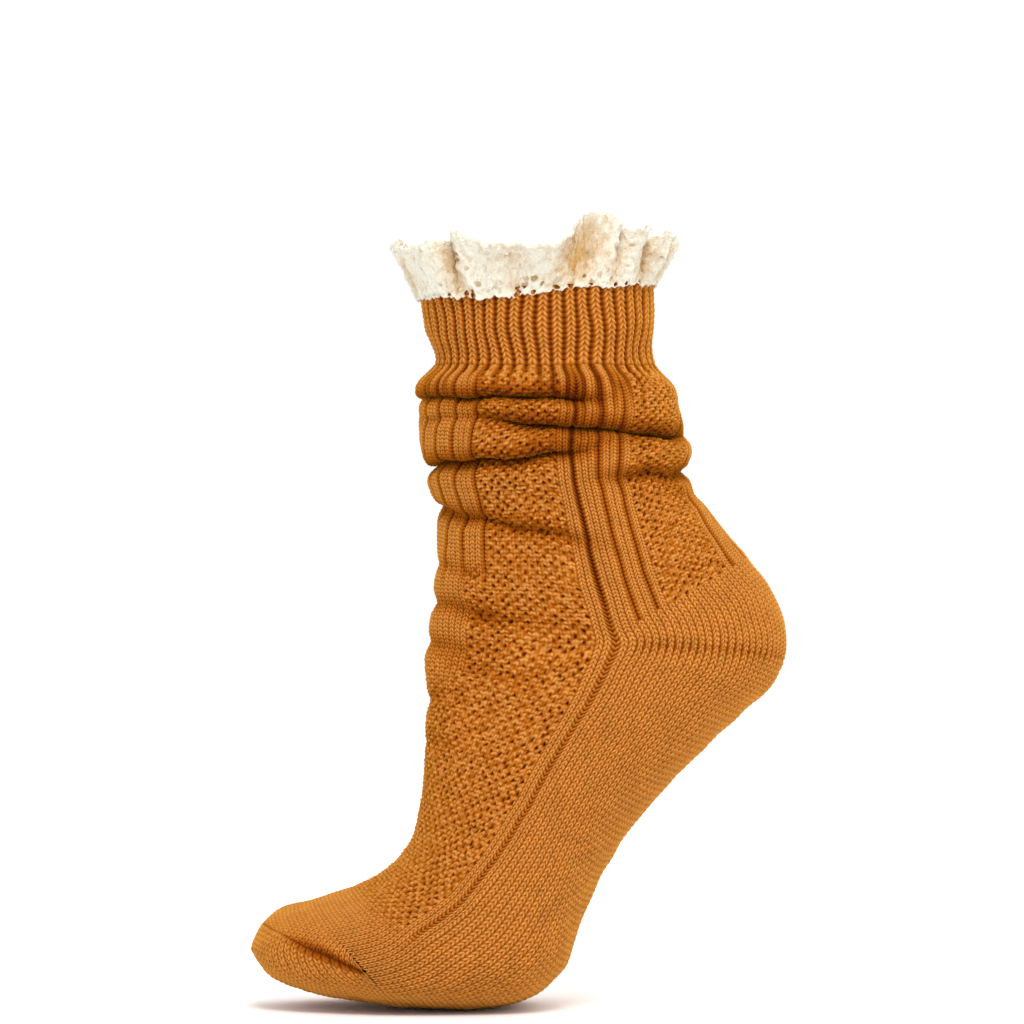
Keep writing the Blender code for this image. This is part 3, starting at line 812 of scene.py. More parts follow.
class Waviness:
    """Gentle unevenness of the cloth, which depends on the place alone, so that pieces still meet."""

    WAVES = 14
    SHORTEST, LONGEST = 9.0 * MM, 34.0 * MM
    LIFT = 0.16 * MM
    DRIFT = 0.13 * MM

    def __init__(self, seed: int) -> None:
        """Draws the waves.

        Args:
            seed: Seed of the draw.
        """
        draw = np.random.default_rng(seed)
        directions = draw.normal(size=(4, self.WAVES, 3))
        directions /= np.linalg.norm(directions, axis=2, keepdims=True)
        wavelengths = draw.uniform(self.SHORTEST, self.LONGEST, size=(4, self.WAVES, 1))
        self.waves = directions * 2 * pi / wavelengths
        self.starts = draw.uniform(0, 2 * pi, size=(4, self.WAVES))

    def _noise(self, points: np.ndarray, channel: int) -> np.ndarray:
        """One channel of noise of about unit size."""
        phases = points @ self.waves[channel].T + self.starts[channel]
        return np.sin(phases).sum(axis=-1) * np.sqrt(2 / self.WAVES)

    def moved(self, placed: Placed) -> Placed:
        """The same points, lifted and shifted a little.

        Args:
            placed: Points with their normals.

        Returns:
            The moved points with the same normals.
        """
        shift = np.stack([self._noise(placed.points, k) for k in range(3)], axis=-1)
        lift = self._noise(placed.points, 3)[..., None] * placed.normals
        return placed._replace(points=placed.points + self.DRIFT * shift + self.LIFT * lift)


@dataclass(frozen=True)
class YarnFinish:
    """Soft spun cotton and acrylic yarn in mustard, dyed evenly, with short fibres on it."""

    name: str = "mustard spun yarn"
    # Colours of the painted shade: darkest and reddest deep between the strands, in creases and under
    # the rolls, half shaded on the flanks, and the yarn's own colour on top.
    in_painted_shade: str = "#561903"
    on_the_flanks: str = "#9A500A"
    on_top: str = "#C98743"
    flanks_from: float = 0.05  # value of the painted shade where the colour starts to turn to that of the flanks
    flanks_to: float = 0.6  # where it has, and starts to turn to that of the tops
    roughness: float = 0.9
    specular: float = 0.04
    sheen: float = 0.4
    sheen_roughness: float = 0.45
    sheen_tint: str = "#FABE14"
    ply_pitch: float = 0.45 * MM  # from one twist of the ply to the next
    ply_distortion: float = 0.6
    fibre_size: float = 0.22 * MM
    mottle_size: float = 0.75 * MM  # of the yarn's lighter and darker spots
    mottle: float = 0.34  # by which their brightness differs
    stitch_tone: float = 0.06  # by which the brightness of one stitch differs from the next
    relief: float = 0.1 * MM  # height of the ply and the fibres
    relief_share: float = 0.8


@dataclass(frozen=True)
class LaceFinish:
    """Unbleached cotton thread, crocheted, matt and a little translucent."""

    name: str = "cream cotton thread"
    # The colour of the warm painted shade in valleys, between loops and at rims, and the thread's own
    # colour.
    in_painted_shade: str = "#CF9A45"
    on_top: str = "#FFFCEC"
    roughness: float = 0.8
    specular: float = 0.08
    sheen: float = 0.1
    translucence: float = 0.06
    light_reach: tuple[float, float, float] = (1.2 * MM, 0.9 * MM, 0.6 * MM)
    loop_size: float = 0.8 * MM  # of a crocheted loop
    between_loops: tuple[float, float] = (0.35, 0.85)  # distances over which the thread ends, and the painted shade between loops begins
    spot_size: float = 1.5 * MM  # of the patches where the crochet is looser and painted shade lies between the loops
    spots: tuple[float, float] = (0.48, 0.72)  # values of the noise over which they start
    spot_share: float = 0.5  # of the painted shade's colour that they take
    thread_size: float = 0.42 * MM  # of the painted shade where the thread's bump lies lower
    threads: tuple[float, float] = (0.5, 0.68)
    thread_share: float = 0.16
    fibre_size: float = 0.25 * MM
    relief: float = 0.6 * MM  # height of the loops, the threads and the fibres


@dataclass(frozen=True)
class FloorFinish:
    """The seamless white paper of a product photo, which is quite matt."""

    name: str = "white paper"
    colour: str = "#FCFCFC"
    roughness: float = 0.95


def linear(colour: str) -> tuple[float, float, float, float]:
    """A colour written as sRGB hex, in the linear values that shaders take.

    Args:
        colour: Such as "#C07A2C".

    Returns:
        Red, green, blue and an alpha of 1.
    """
    shares = [int(colour[k : k + 2], 16) / 255 for k in (1, 3, 5)]
    # The curve that sRGB is defined by.
    found = [s / 12.92 if s <= 0.04045 else ((s + 0.055) / 1.055) ** 2.4 for s in shares]
    return (found[0], found[1], found[2], 1.0)


class MaterialGraph:
    """A node material with one Principled shader."""

    SHARE, FIRST, SECOND = 0, 6, 7  # inputs of a mix of two colours
    MIXED = 2  # its output
    SMOOTH, ROUGH = 2.0, 3.0  # the detail of a noise

    def __init__(self, name: str, inputs: Mapping[str, object]) -> None:
        """Starts the material.

        Args:
            name: Name of the real finish.
            inputs: Values of the shader's inputs.
        """
        self.material = bpy.data.materials.new(name)
        self.material.use_nodes = True
        self.tree = self.material.node_tree
        self.shader = self.tree.nodes["Principled BSDF"]
        self.feed(self.shader, inputs)

    def feed(self, node: bpy.types.Node, inputs: Mapping[object, object]) -> None:
        """Sets or links a node's inputs.

        Args:
            node: The node.
            inputs: A value or an output socket for each input, by its name or number.
        """
        for key, value in inputs.items():
            if isinstance(value, bpy.types.NodeSocket):
                self.tree.links.new(value, node.inputs[key])
            else:
                node.inputs[key].default_value = value

    def node(
        self, kind: str, inputs: Mapping[object, object], **settings: object
    ) -> bpy.types.Node:
        """Adds a node.

        Args:
            kind: Type of the node, without the words ShaderNode.
            inputs: A value or an output socket for each input, by its name or number.
            **settings: Values of the node's own properties.

        Returns:
            The node.
        """
        made = self.tree.nodes.new("ShaderNode" + kind)
        for name, value in settings.items():
            setattr(made, name, value)
        self.feed(made, inputs)
        return made


def yarn_material(finish: YarnFinish) -> bpy.types.Material:
    """Matt yarn with painted shade: darker and redder in its gaps, its creases and under its rolls,
    since light reaches them only through other yarn.

    Args:
        finish: The yarn's finish.

    Returns:
        The material.
    """
    graph = MaterialGraph(
        finish.name,
        {
            "Roughness": finish.roughness,
            "Metallic": 0.0,
            "Specular IOR Level": finish.specular,
            "Sheen Weight": finish.sheen,
            "Sheen Roughness": finish.sheen_roughness,
            "Sheen Tint": linear(finish.sheen_tint),
        },
    )
    # The painted shade, from 0 in the darkest gaps to 1 on the tops of the strands.
    depth = graph.node("Attribute", {}, attribute_name="depth").outputs["Fac"]
    colour = linear(finish.in_painted_shade)
    for first, last, after in (
        (finish.flanks_from, finish.flanks_to, finish.on_the_flanks),
        (finish.flanks_to, 1.0, finish.on_top),
    ):
        share = graph.node("MapRange", {"Value": depth, "From Min": first, "From Max": last})
        inputs = {graph.SHARE: share.outputs[0], graph.FIRST: colour, graph.SECOND: linear(after)}
        colour = graph.node("Mix", inputs, data_type="RGBA").outputs[graph.MIXED]

    place = graph.node("TexCoord", {}).outputs["Object"]
    spots, fibres = (
        graph.node("TexNoise", {"Vector": place, "Scale": 1 / size, "Detail": detail}).outputs["Fac"]
        for size, detail in ((finish.mottle_size, graph.SMOOTH), (finish.fibre_size, graph.ROUGH))
    )
    tone = graph.node("Attribute", {}, attribute_name="tone").outputs["Fac"]
    brightness = 1.0 - finish.mottle
    for value, share in ((tone, finish.stitch_tone), (spots, 2 * finish.mottle)):
        inputs = {0: value, 1: share, 2: brightness}
        brightness = graph.node("Math", inputs, operation="MULTIPLY_ADD").outputs[0]
    vivid = graph.node("HueSaturation", {"Value": brightness, "Color": colour})

    # The UV map is in metres, and a wave of scale 1 repeats each pi / 10 of them.
    along = graph.node("UVMap", {}, uv_map="strand").outputs[0]
    scale = 2 * pi / finish.ply_pitch / 20
    inputs = {"Vector": along, "Scale": scale, "Distortion": finish.ply_distortion}
    ply = graph.node("TexWave", inputs, bands_direction="DIAGONAL").outputs["Fac"]
    height = graph.node("Math", {0: ply, 1: fibres}, operation="ADD").outputs[0]
    inputs = {"Height": height, "Distance": finish.relief, "Strength": finish.relief_share}
    bump = graph.node("Bump", inputs)
    graph.feed(graph.shader, {"Base Color": vivid.outputs[0], "Normal": bump.outputs["Normal"]})
    return graph.material


def lace_material(finish: LaceFinish) -> bpy.types.Material:
    """Cream cotton thread in small crocheted loops, with a warm painted shade between its loops where
    the crochet is loose, where its bump lies low and where the ruffle lies deep.

    Args:
        finish: The thread's finish.

    Returns:
        The material.
    """
    graph = MaterialGraph(
        finish.name,
        {
            "Roughness": finish.roughness,
            "Metallic": 0.0,
            "Specular IOR Level": finish.specular,
            "Sheen Weight": finish.sheen,
            "Subsurface Weight": finish.translucence,
            "Subsurface Radius": finish.light_reach,
            "Subsurface Scale": 1.0,
        },
    )
    place = graph.node("TexCoord", {}).outputs["Object"]
    inputs = {"Vector": place, "Scale": 1 / finish.loop_size}
    loops = graph.node("TexVoronoi", inputs, feature="SMOOTH_F1").outputs["Distance"]
    fibres, spots, threads = (
        graph.node("TexNoise", {"Vector": place, "Scale": 1 / size, "Detail": detail}).outputs["Fac"]
        for size, detail in (
            (finish.fibre_size, graph.SMOOTH),
            (finish.spot_size, graph.ROUGH),
            (finish.thread_size, graph.SMOOTH),
        )
    )
    between, loose, dark = (
        graph.node("MapRange", {"Value": value, "From Min": first, "From Max": last}).outputs[0]
        for value, (first, last) in (
            (loops, finish.between_loops),
            (spots, finish.spots),
            (threads, finish.threads),
        )
    )
    # The painted shade: warmer and darker where the ruffle lies deep, between its loops in looser
    # patches and where the thread's bump lies low.
    depth = graph.node("Attribute", {}, attribute_name="depth").outputs["Fac"]
    share = graph.node("Math", {0: 1.0, 1: depth}, operation="SUBTRACT").outputs[0]
    spotted = graph.node("Math", {0: between, 1: loose}, operation="MULTIPLY").outputs[0]
    for value, part in ((spotted, finish.spot_share), (dark, finish.thread_share)):
        inputs = {0: value, 1: part, 2: share}
        share = graph.node("Math", inputs, operation="MULTIPLY_ADD").outputs[0]
    first, second = linear(finish.on_top), linear(finish.in_painted_shade)
    inputs = {graph.SHARE: share, graph.FIRST: first, graph.SECOND: second}
    colour = graph.node("Mix", inputs, data_type="RGBA").outputs[graph.MIXED]
    height = fibres
    for sunk in (loops, threads):
        height = graph.node("Math", {0: height, 1: sunk}, operation="SUBTRACT").outputs[0]
    bump = graph.node("Bump", {"Height": height, "Distance": finish.relief, "Strength": 1.0})
    graph.feed(graph.shader, {"Base Color": colour, "Normal": bump.outputs["Normal"]})
    return graph.material


def floor_material(finish: FloorFinish) -> bpy.types.Material:
    """Plain matt paper."""
    inputs = {"Roughness": finish.roughness, "Metallic": 0.0, "Base Color": linear(finish.colour)}
    return MaterialGraph(finish.name, inputs).material


@dataclass
class ClothMesh:
    """Numbers of one piece of cloth, ready to become an object."""

    points: np.ndarray
    triangles: np.ndarray
    depth: np.ndarray  # painted shade: 0 darkest, deep between strands and in creases, 1 on top of them
    tone: Optional[np.ndarray] = None
    strand: Optional[np.ndarray] = None  # UV map, in metres

    def area(self) -> float:
        """Area of the drawn surface in square metres."""
        a, b, c = (self.points[self.triangles[:, k]] for k in range(3))
        return float(np.linalg.norm(np.cross(b - a, c - a), axis=1).sum() / 2)

    def dressed(self, name: str, material: bpy.types.Material) -> bpy.types.Object:
        """Makes the object at the origin, dresses it and links it to the scene.

        Args:
            name: Name of the piece.
            material: Its material.

        Returns:
            The object.
        """
        mesh = bpy.data.meshes.new(name)
        mesh.vertices.add(len(self.points))
        mesh.vertices.foreach_set("co", self.points.astype(np.float32).ravel())
        mesh.loops.add(self.triangles.size)
        mesh.loops.foreach_set("vertex_index", self.triangles.astype(np.int32).ravel())
        mesh.polygons.add(len(self.triangles))
        mesh.polygons.foreach_set("loop_start", np.arange(0, self.triangles.size, 3))
        mesh.update(calc_edges=True)
        mesh.shade_smooth()
        # depth carries the painted shade, and tone the random difference from stitch to stitch
        for attribute, values in (("depth", self.depth), ("tone", self.tone)):
            if values is not None:
                layer = mesh.attributes.new(attribute, "FLOAT", "POINT")
                layer.data.foreach_set("value", values.astype(np.float32))
        if self.strand is not None:
            layer = mesh.uv_layers.new(name="strand")
            corners = self.strand[self.triangles.ravel()]
            layer.uv.foreach_set("vector", corners.astype(np.float32).ravel())
        mesh.materials.append(material)
        mesh.validate()
        made = bpy.data.objects.new(name, mesh)
        bpy.context.scene.collection.objects.link(made)
        return made


@dataclass
class SheetCut:
    """The flat cut of a piece of cloth."""

    width: float
    length: float
    held: str

    @property
    def area(self) -> float:
        """Its area in square metres."""
        return self.width * self.length


def lattice_area(points: np.ndarray) -> float:
    """Area in square metres of a lattice of points, an array (rows, columns, 3)."""
    down, across = np.diff(points, axis=0)[:, :-1], np.diff(points, axis=1)[:-1]
    return float(np.linalg.norm(np.cross(down, across), axis=2).sum())


@dataclass
class Knit:
    """A knitted piece: where it lies, what it stands for and how it is stitched."""

    name: str
    node: str
    paths: WalePaths
    held: str
    uneven: Waviness
    relief: float = 1.0  # of its stitches past its start, as a share of the full relief

    RELIEF_FALLS = 4.0 * MM  # over which the relief comes down to that
    WALE_WIDTH = 2.3 * MM  # for the twist of its yarn
    RAGGED = 0.055 * MM  # by which one stitch stands out more than the next
    DARKEST = 1.25 * MM  # depth of the gaps whose painted shade is darkest
    DEEPEST = 7.5 * MM  # of the creases
    CREASE_SHADE = 0.95  # painted shade: how much darker the cloth is coloured at the bottom of the deepest one
    CREASE_FALL = 1.1  # how soon that painted shade lightens above the bottom
    LEAST_STEP = 1e-3  # courses between two rows, where they lie on one another
    MOST_TONE = 2.0

    def _relief_scale(self, points: np.ndarray, lattice: Lattice) -> np.ndarray:
        """How deep the relief is: less where the stitches are drawn together.

        Args:
            points: Points of the cloth without its stitches.
            lattice: The piece's lattice.

        Returns:
            Shares of the full relief, as an array (rows, columns).
        """
        across = np.linalg.norm(np.gradient(points, axis=1), axis=2)
        across = across / np.abs(np.gradient(lattice.wales))[None]
        down = np.linalg.norm(np.gradient(points, axis=0), axis=2)
        down = down / np.maximum(np.abs(np.gradient(lattice.courses, axis=0)), self.LEAST_STEP)
        whole = down.max(axis=0, keepdims=True)  # a course that isn't cut short by a seam
        if not lattice.closed:
            across[:, [0, -1]] = FULL_WALE  # the same for both pieces at their border
        size = np.minimum(across / FULL_WALE, whole / FULL_COURSE)
        return np.clip(size, LEAST_RELIEF, 1.0)

    def build(self, lattice: Lattice, material: bpy.types.Material, seed: int) -> SheetCut:
        """Args:
            lattice: Its lattice.
            material: Its yarn.
            seed: Seed of the small differences between its stitches.

        Returns:
            The piece's flat cut.
        """
        placed = self.uneven.moved(self.paths.at(lattice.distances, lattice.wales))
        index, used = lattice.indices()
        heights = lattice.heights
        draw = np.random.default_rng(seed)
        courses = np.floor(lattice.courses + 0.5).astype(int)
        wales = np.round(lattice.wales - lattice.wales[0]).astype(int)[None]
        tones = draw.normal(size=(int(courses.max()) + 2, int(wales.max()) + 1))
        tone = tones[np.clip(courses, 0, None), wales * np.ones_like(courses)]
        sunk = np.clip(placed.sunk / self.DEEPEST, 0, 1) ** self.CREASE_FALL
        shown = heights if lattice.shown is None else lattice.shown
        # Painted shade: darker between the strands, in the creases and under the rolls
        shade = 1 + shown / self.DARKEST - self.CREASE_SHADE * sunk
        relief = 1 - (1 - self.relief) * eased(lattice.distances / self.RELIEF_FALLS)
        heights = heights * self._relief_scale(placed.points, lattice) * relief
        ragged = self.RAGGED * tone
        ragged[[0, -1]] = 0
        if not lattice.closed:
            ragged[:, [0, -1]] = 0
        points = placed.points + placed.normals * (heights + ragged)[..., None]
        across = np.abs(np.mod(lattice.wales + 0.5, 1.0) - 0.5) * self.WALE_WIDTH
        strand = np.stack([across[None] * np.ones_like(heights), lattice.distances], axis=-1)
        mesh = ClothMesh(
            points=points.reshape(-1, 3)[used],
            triangles=lattice.triangles(index),
            depth=np.clip(shade, 0, 1).ravel()[used],
            tone=np.clip(tone, -self.MOST_TONE, self.MOST_TONE).ravel()[used],
            strand=strand.reshape(-1, 2)[used],
        )
        made = mesh.dressed(self.name, material)
        base = placed.points
        if lattice.closed:
            base = np.concatenate([base, base[:, :1]], axis=1)
        length = float(np.mean(np.abs(np.diff(lattice.distances, axis=0)).sum(axis=0)))
        cut = SheetCut(lattice_area(base) / length, length, self.held)
        declare(made, MUSTARD_SLOT, cut, self.node)
        share = mesh.area() / cut.area
        LOG.info("%s: %d triangles, %.2f of the cut", self.name, len(mesh.triangles), share)
        return cut


def declare(obj: bpy.types.Object, slot: str, cut: SheetCut, *nodes: str) -> None:
    """Parents a piece of cloth to the root body and hides the CAD nodes that it stands for.

    Args:
        obj: The piece.
        slot: Not used.
        cut: Not used.
        *nodes: CAD nodes that it stands for.
    """
    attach(obj, "root")
    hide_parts(*nodes)


@dataclass
class Border:
    """The stitches on the far side of a piece's end row."""

    grid: StitchGrid
    course: np.ndarray  # their height at each column, in metres


@dataclass
class Neighbours:
    """What lies past a piece's two end rows. None leaves that row as it is."""

    above: Optional[Border] = None
    below: Optional[Border] = None


def stitch_heights(grid: StitchGrid, courses: np.ndarray, between: np.ndarray) -> np.ndarray:
    """Heights in millimetres on rows that lie at these courses, or between two of them."""
    heights = grid.tops()[None] - grid.gaps()[None] * between[:, None]
    return heights + grid.moss(courses) + grid.ladder(courses)


def shared_rise(grid: StitchGrid, course: np.ndarray, other: Border) -> np.ndarray:
    """How far the row between two pieces rises, in metres, the same seen from either piece."""
    return (grid.slants() * course + other.grid.slants() * other.course) / 2


class Fade(NamedTuple):
    """Where one pattern gives way to another, in courses counted down the sock."""

    grid: StitchGrid
    first: float
    last: float


def regular_lattice(
    grid: StitchGrid,
    count: int,
    starts: np.ndarray,
    ends: np.ndarray,
    first_course: int,
    neighbours: Neighbours,
    fades: Sequence[Fade] = (),
) -> Lattice:
    """A lattice whose courses run from side to side.

    Args:
        grid: Its run of wales.
        count: How many courses it has.
        starts: Distance along each column where the first course starts.
        ends: Distance along each column where the last one ends.
        first_course: Number of the first course, counted down the sock.
        neighbours: The stitches above and below.
        fades: The patterns that it turns into on its way down.

    Returns:
        The lattice.
    """
    rows, between = course_rows(count)
    courses = rows[:, None] * np.ones((1, len(grid.wales)))
    heights = stitch_heights(grid, courses + first_course, between)
    slants = grid.slants()[None] * np.ones_like(courses)
    for fade in fades:
        share = eased((courses + first_course - fade.first) / (fade.last - fade.first))
        later = stitch_heights(fade.grid, courses + first_course, between)
        heights = heights * (1 - share) + later * share
        slants = slants * (1 - share) + fade.grid.slants()[None] * share
    course = (ends - starts) / count
    rises = slants * course[None]
    last_grid = fades[-1].grid if fades else grid
    joins = ((0, grid, neighbours.above), (len(rows) - 1, last_grid, neighbours.below))
    for row, near, other in joins:
        if other is not None:
            line = slice(row, row + 1)
            beside = stitch_heights(other.grid, courses[line] + first_course, between[line])
            rises[line] = shared_rise(near, course, other)
            heights[line] = (heights[line] + beside) / 2
    distances = starts[None] + courses * course[None] - rises
    return Lattice(grid.wales, courses + first_course, distances, heights * MM)


def short_row_lattice(
    grid: StitchGrid,
    gore: np.ndarray,
    ends: np.ndarray,
    upper_course: np.ndarray,
    lower_course: np.ndarray,
    neighbours: Neighbours,
    gore_height: float,
    end_height: Optional[float] = None,
) -> Lattice:
    """A lattice of short rows: courses that stop at a gore, above it and below it.

    Args:
        grid: Its run of wales.
        gore: Distance of the gore along each column.
        ends: Distance of the end along each column.
        upper_course: Height of a course above the gore, for each column, in metres.
        lower_course: Height of a course below it.
        neighbours: The stitches above and below.
        gore_height: Height of the cloth at the gore, in millimetres.
        end_height: Height of the last row, in millimetres, if it is tucked in.

    Returns:
        The lattice.
    """
    upper, upper_between = course_rows(int(np.ceil((gore / upper_course).max())))
    lower, lower_between = course_rows(int(np.ceil(((ends - gore) / lower_course).max())))
    lower, lower_between = lower[::-1], lower_between[::-1]
    slants = grid.slants()[None]
    above = np.minimum((upper[:, None] - slants) * upper_course[None], gore[None])
    below = np.minimum((lower[:, None] + slants) * lower_course[None], (ends - gore)[None])
    distances = np.vstack([above, ends[None] - below])
    courses = np.vstack(
        [upper[:, None] * np.ones_like(slants), upper[-1] + lower[0] - lower[:, None] + 0 * slants]
    )
    between = np.concatenate([upper_between, lower_between])
    heights = stitch_heights(grid, courses, between)
    for row, other in ((0, neighbours.above), (len(between) - 1, neighbours.below)):
        if other is not None:
            line = slice(row, row + 1)
            beside = stitch_heights(other.grid, courses[line], between[line])
            step = upper_course if row == 0 else lower_course
            border = np.zeros_like(gore) if row == 0 else ends
            distances[line] = border - shared_rise(grid, step, other)
            heights[line] = (heights[line] + beside) / 2
    at_gore = np.abs(distances - gore[None]) < SAME_PLACE
    heights = np.where(at_gore, gore_height, heights)
    if end_height is not None:
        distances[-1] = ends
        heights[-1] = end_height
    return Lattice(grid.wales, courses, distances, heights * MM)


def straight_down(
    form: SockForm, start: float, end: float
) -> Callable[[np.ndarray, np.ndarray], tuple[np.ndarray, np.ndarray]]:
    """Makes the paths of wales that run straight down a stretch of the tube.

    Args:
        form: The sock's form.
        start: Length along the tube where they start.
        end: Length along the tube where they end.

    Returns:
        The function that says where a share of a wale's path lies.
    """

    def path(share: np.ndarray, wale: np.ndarray) -> tuple[np.ndarray, np.ndarray]:
        """Lengths along the tube and angles round it."""
        lengths = start + share * (end - start)
        return lengths, form.angle_of(lengths, wale)

    return path


class Cuff:
    """The ribbed cuff: knit wales that stand forward, with recesses between them."""

    # Heights in millimetres at the points of ACROSS_RIB, and how much lower they lie in a gap.
    TOPS = (-1.0, -0.78, -0.27, 0.0, -0.34, 0.0, -0.27, -0.78)
    GAPS = (0.3, 0.42, 0.44, 0.46, 0.46, 0.46, 0.44, 0.42)
    SLANT = 0.8
    SWAY = 0.42  # how far the ribs wander sideways, in wales
    SWAYS = ((1.0, 3, 3, 0), (0.7, 5, -3, 1))  # share, waves round, waves down, shift
    SPARE_WALES = 2.0  # sampled beyond each end, where the cuff closes
    RIM = 0.15 * MM  # from the first row of the rim, inside, to the second
    RIM_EDGE = 0.25 * MM  # and from that to the first course
    RIM_HEIGHTS = (-1.5, -1.0)  # of those two rows, in millimetres
    RIM_SHOWN = 0.9  # how much shallower their painted shade makes them look, in millimetres
    HEM_SHOWN = 0.7  # how deep the hem's painted shade makes it look between its ribs, in millimetres
    FOOT = 0.9 * MM  # how far the cuff runs on under the leg
    FOOT_DROP = 0.5  # and how much deeper it lies there, in millimetres
    HEM_RIBS = 0.5  # height of the hem's ribs inside, as a share of the ribs' outside

    def __init__(self, form: SockForm) -> None:
        """Lays out the cuff's paths.

        Args:
            form: The sock's form.
        """
        end = form.station("cuff bottom")

        def path(share: np.ndarray, wale: np.ndarray) -> tuple[np.ndarray, np.ndarray]:
            """Lets the ribs wander a little on their way down.

            Args:
                share: Share of the way down.
                wale: The wale.

            Returns:
                Lengths along the tube and angles round it.
            """
            lengths = share * end
            turn = 2 * pi * wale / WALES
            sway = sum(
                part * np.sin(around * turn + down * share + shift)
                for part, around, down, shift in self.SWAYS
            )
            wandering = wale + self.SWAY * np.sin(pi * share) * sway
            return lengths, form.angle_of(lengths, wandering)

        self.paths = WalePaths(form, -self.SPARE_WALES, WALES + self.SPARE_WALES, path)

    def lattice(self) -> Lattice:
        """The cuff's lattice, from the hem turned in at its top to the leg.

        Returns:
            The lattice, whose last column joins its first.
        """
        ribs = np.arange(CUFF_RIBS)[:, None]
        across = np.tile(ACROSS_RIB, CUFF_RIBS)
        wales = ((ribs + np.array(ACROSS_RIB)[None]).ravel() - 0.5) * WALES / CUFF_RIBS
        total = self.paths.total(wales)
        rows, between = course_rows(CUFF_COURSES)
        slants = self.SLANT * np.clip(1 - np.abs(across - 0.5) / RIB_HALF_WIDTH, 0, 1)
        tops, gaps = np.tile(self.TOPS, CUFF_RIBS), np.tile(self.GAPS, CUFF_RIBS)
        heights = tops[None] - gaps[None] * between[:, None]
        course = (total / CUFF_COURSES)[None]
        slanting = slants[None] * ((rows > 0) & (rows < CUFF_COURSES))[:, None]
        distances = (rows[:, None] - slanting) * course
        hem = np.arange(HEM_COURSES, 0, -1)[:, None] * course
        edge = np.full((1, len(wales)), -self.RIM_EDGE)
        foot = distances[-1:] + self.FOOT
        distances = np.vstack([hem, edge - self.RIM, edge, distances, foot])
        ribs_inside = self.HEM_RIBS * (tops - tops.min())[None] * np.ones((HEM_COURSES, 1))
        rim = np.array(self.RIM_HEIGHTS)[:, None] * np.ones((1, len(wales)))
        inside = -HEM_DEPTH / MM - ribs_inside
        # The heights that the painted shade goes by: the rim and the hem are coloured as if they lay
        # less deep.
        shown = [ribs_inside - self.HEM_SHOWN, rim + self.RIM_SHOWN, heights, heights[-1:]]
        heights = np.vstack([inside, rim, heights, heights[-1:] - self.FOOT_DROP])
        course_of = np.concatenate([np.zeros(HEM_COURSES + 2), rows, rows[-1:]])
        courses = course_of[:, None] * np.ones((1, len(wales)))
        return Lattice(
            wales, courses, distances, heights * MM, np.vstack(shown) * MM, closed=True
        )


class Leg:
    """The slouched leg, drawn as a front and a back piece."""

    RIB_DEPTH = 1.0 * MM  # of the cuff's ribs where they run on into the leg
    RECESS_POWER = 4  # above 1, the recesses between them are narrow
    RIBS_REACH = 5.0  # courses, before they fade away
    UNEVENLY = ((0.4, 0.21, 1), (0.3, 0.53, 0))  # share, pace from wale to wale, shift
    SIDE_RIBS_REACH = 8.0  # more courses at the sides
    SIDE_RIBS = 6.0  # wales on either side of a side wale that do so
    FLATTENED = 0.5  # of the stitches' own relief is left where the ribs start
    FRONT_RIBS_END = (60.0, 76.0)  # courses over which the front ribs give way to the ankle's knit

    def __init__(self, form: SockForm) -> None:
        """Lays out the leg's paths.

        Args:
            form: The sock's form.
        """
        path = straight_down(form, form.station("cuff bottom"), form.station("heel turn starts"))
        self.front = WalePaths(form, *FRONT, path)
        self.back = WalePaths(form, *BACK, path)

    def lattice(
        self, paths: WalePaths, grid: StitchGrid, ankle: StitchGrid, below: Border
    ) -> Lattice:
        """The lattice of the front or the back.

        Args:
            paths: Its paths.
            grid: Its wales.
            ankle: The same wales at the ankle.
            below: The stitches of the foot that it runs on into.

        Returns:
            The lattice.
        """
        starts = np.zeros(len(grid.wales))
        ends = paths.total(grid.wales)
        fade = Fade(ankle, *self.FRONT_RIBS_END)
        made = regular_lattice(grid, LEG_COURSES, starts, ends, 0, Neighbours(None, below), [fade])
        made.distances[0] = 0.0
        beside = np.exp(-(((grid.wales_from_front() - SIDE_WALE) / self.SIDE_RIBS) ** 2))
        waves = (share * np.sin(pace * grid.wales + shift) for share, pace, shift in self.UNEVENLY)
        uneven = sum(waves, start=1.0)
        reach = self.RIBS_REACH * uneven + self.SIDE_RIBS_REACH * beside
        recess = np.sin(pi * grid.wales * CUFF_RIBS / WALES) ** self.RECESS_POWER
        fading = np.exp(-((made.courses / reach[None]) ** 2))
        kept = 1 - (1 - self.FLATTENED) * np.exp(-((made.courses / self.RIBS_REACH) ** 2))
        made.heights = made.heights * kept - self.RIB_DEPTH * recess[None] * fading
        return made

    @staticmethod
    def course(paths: WalePaths, grid: StitchGrid) -> np.ndarray:
        """Height of the leg's courses at each column of its front or back, in metres."""
        return paths.total(grid.wales) / LEG_COURSES


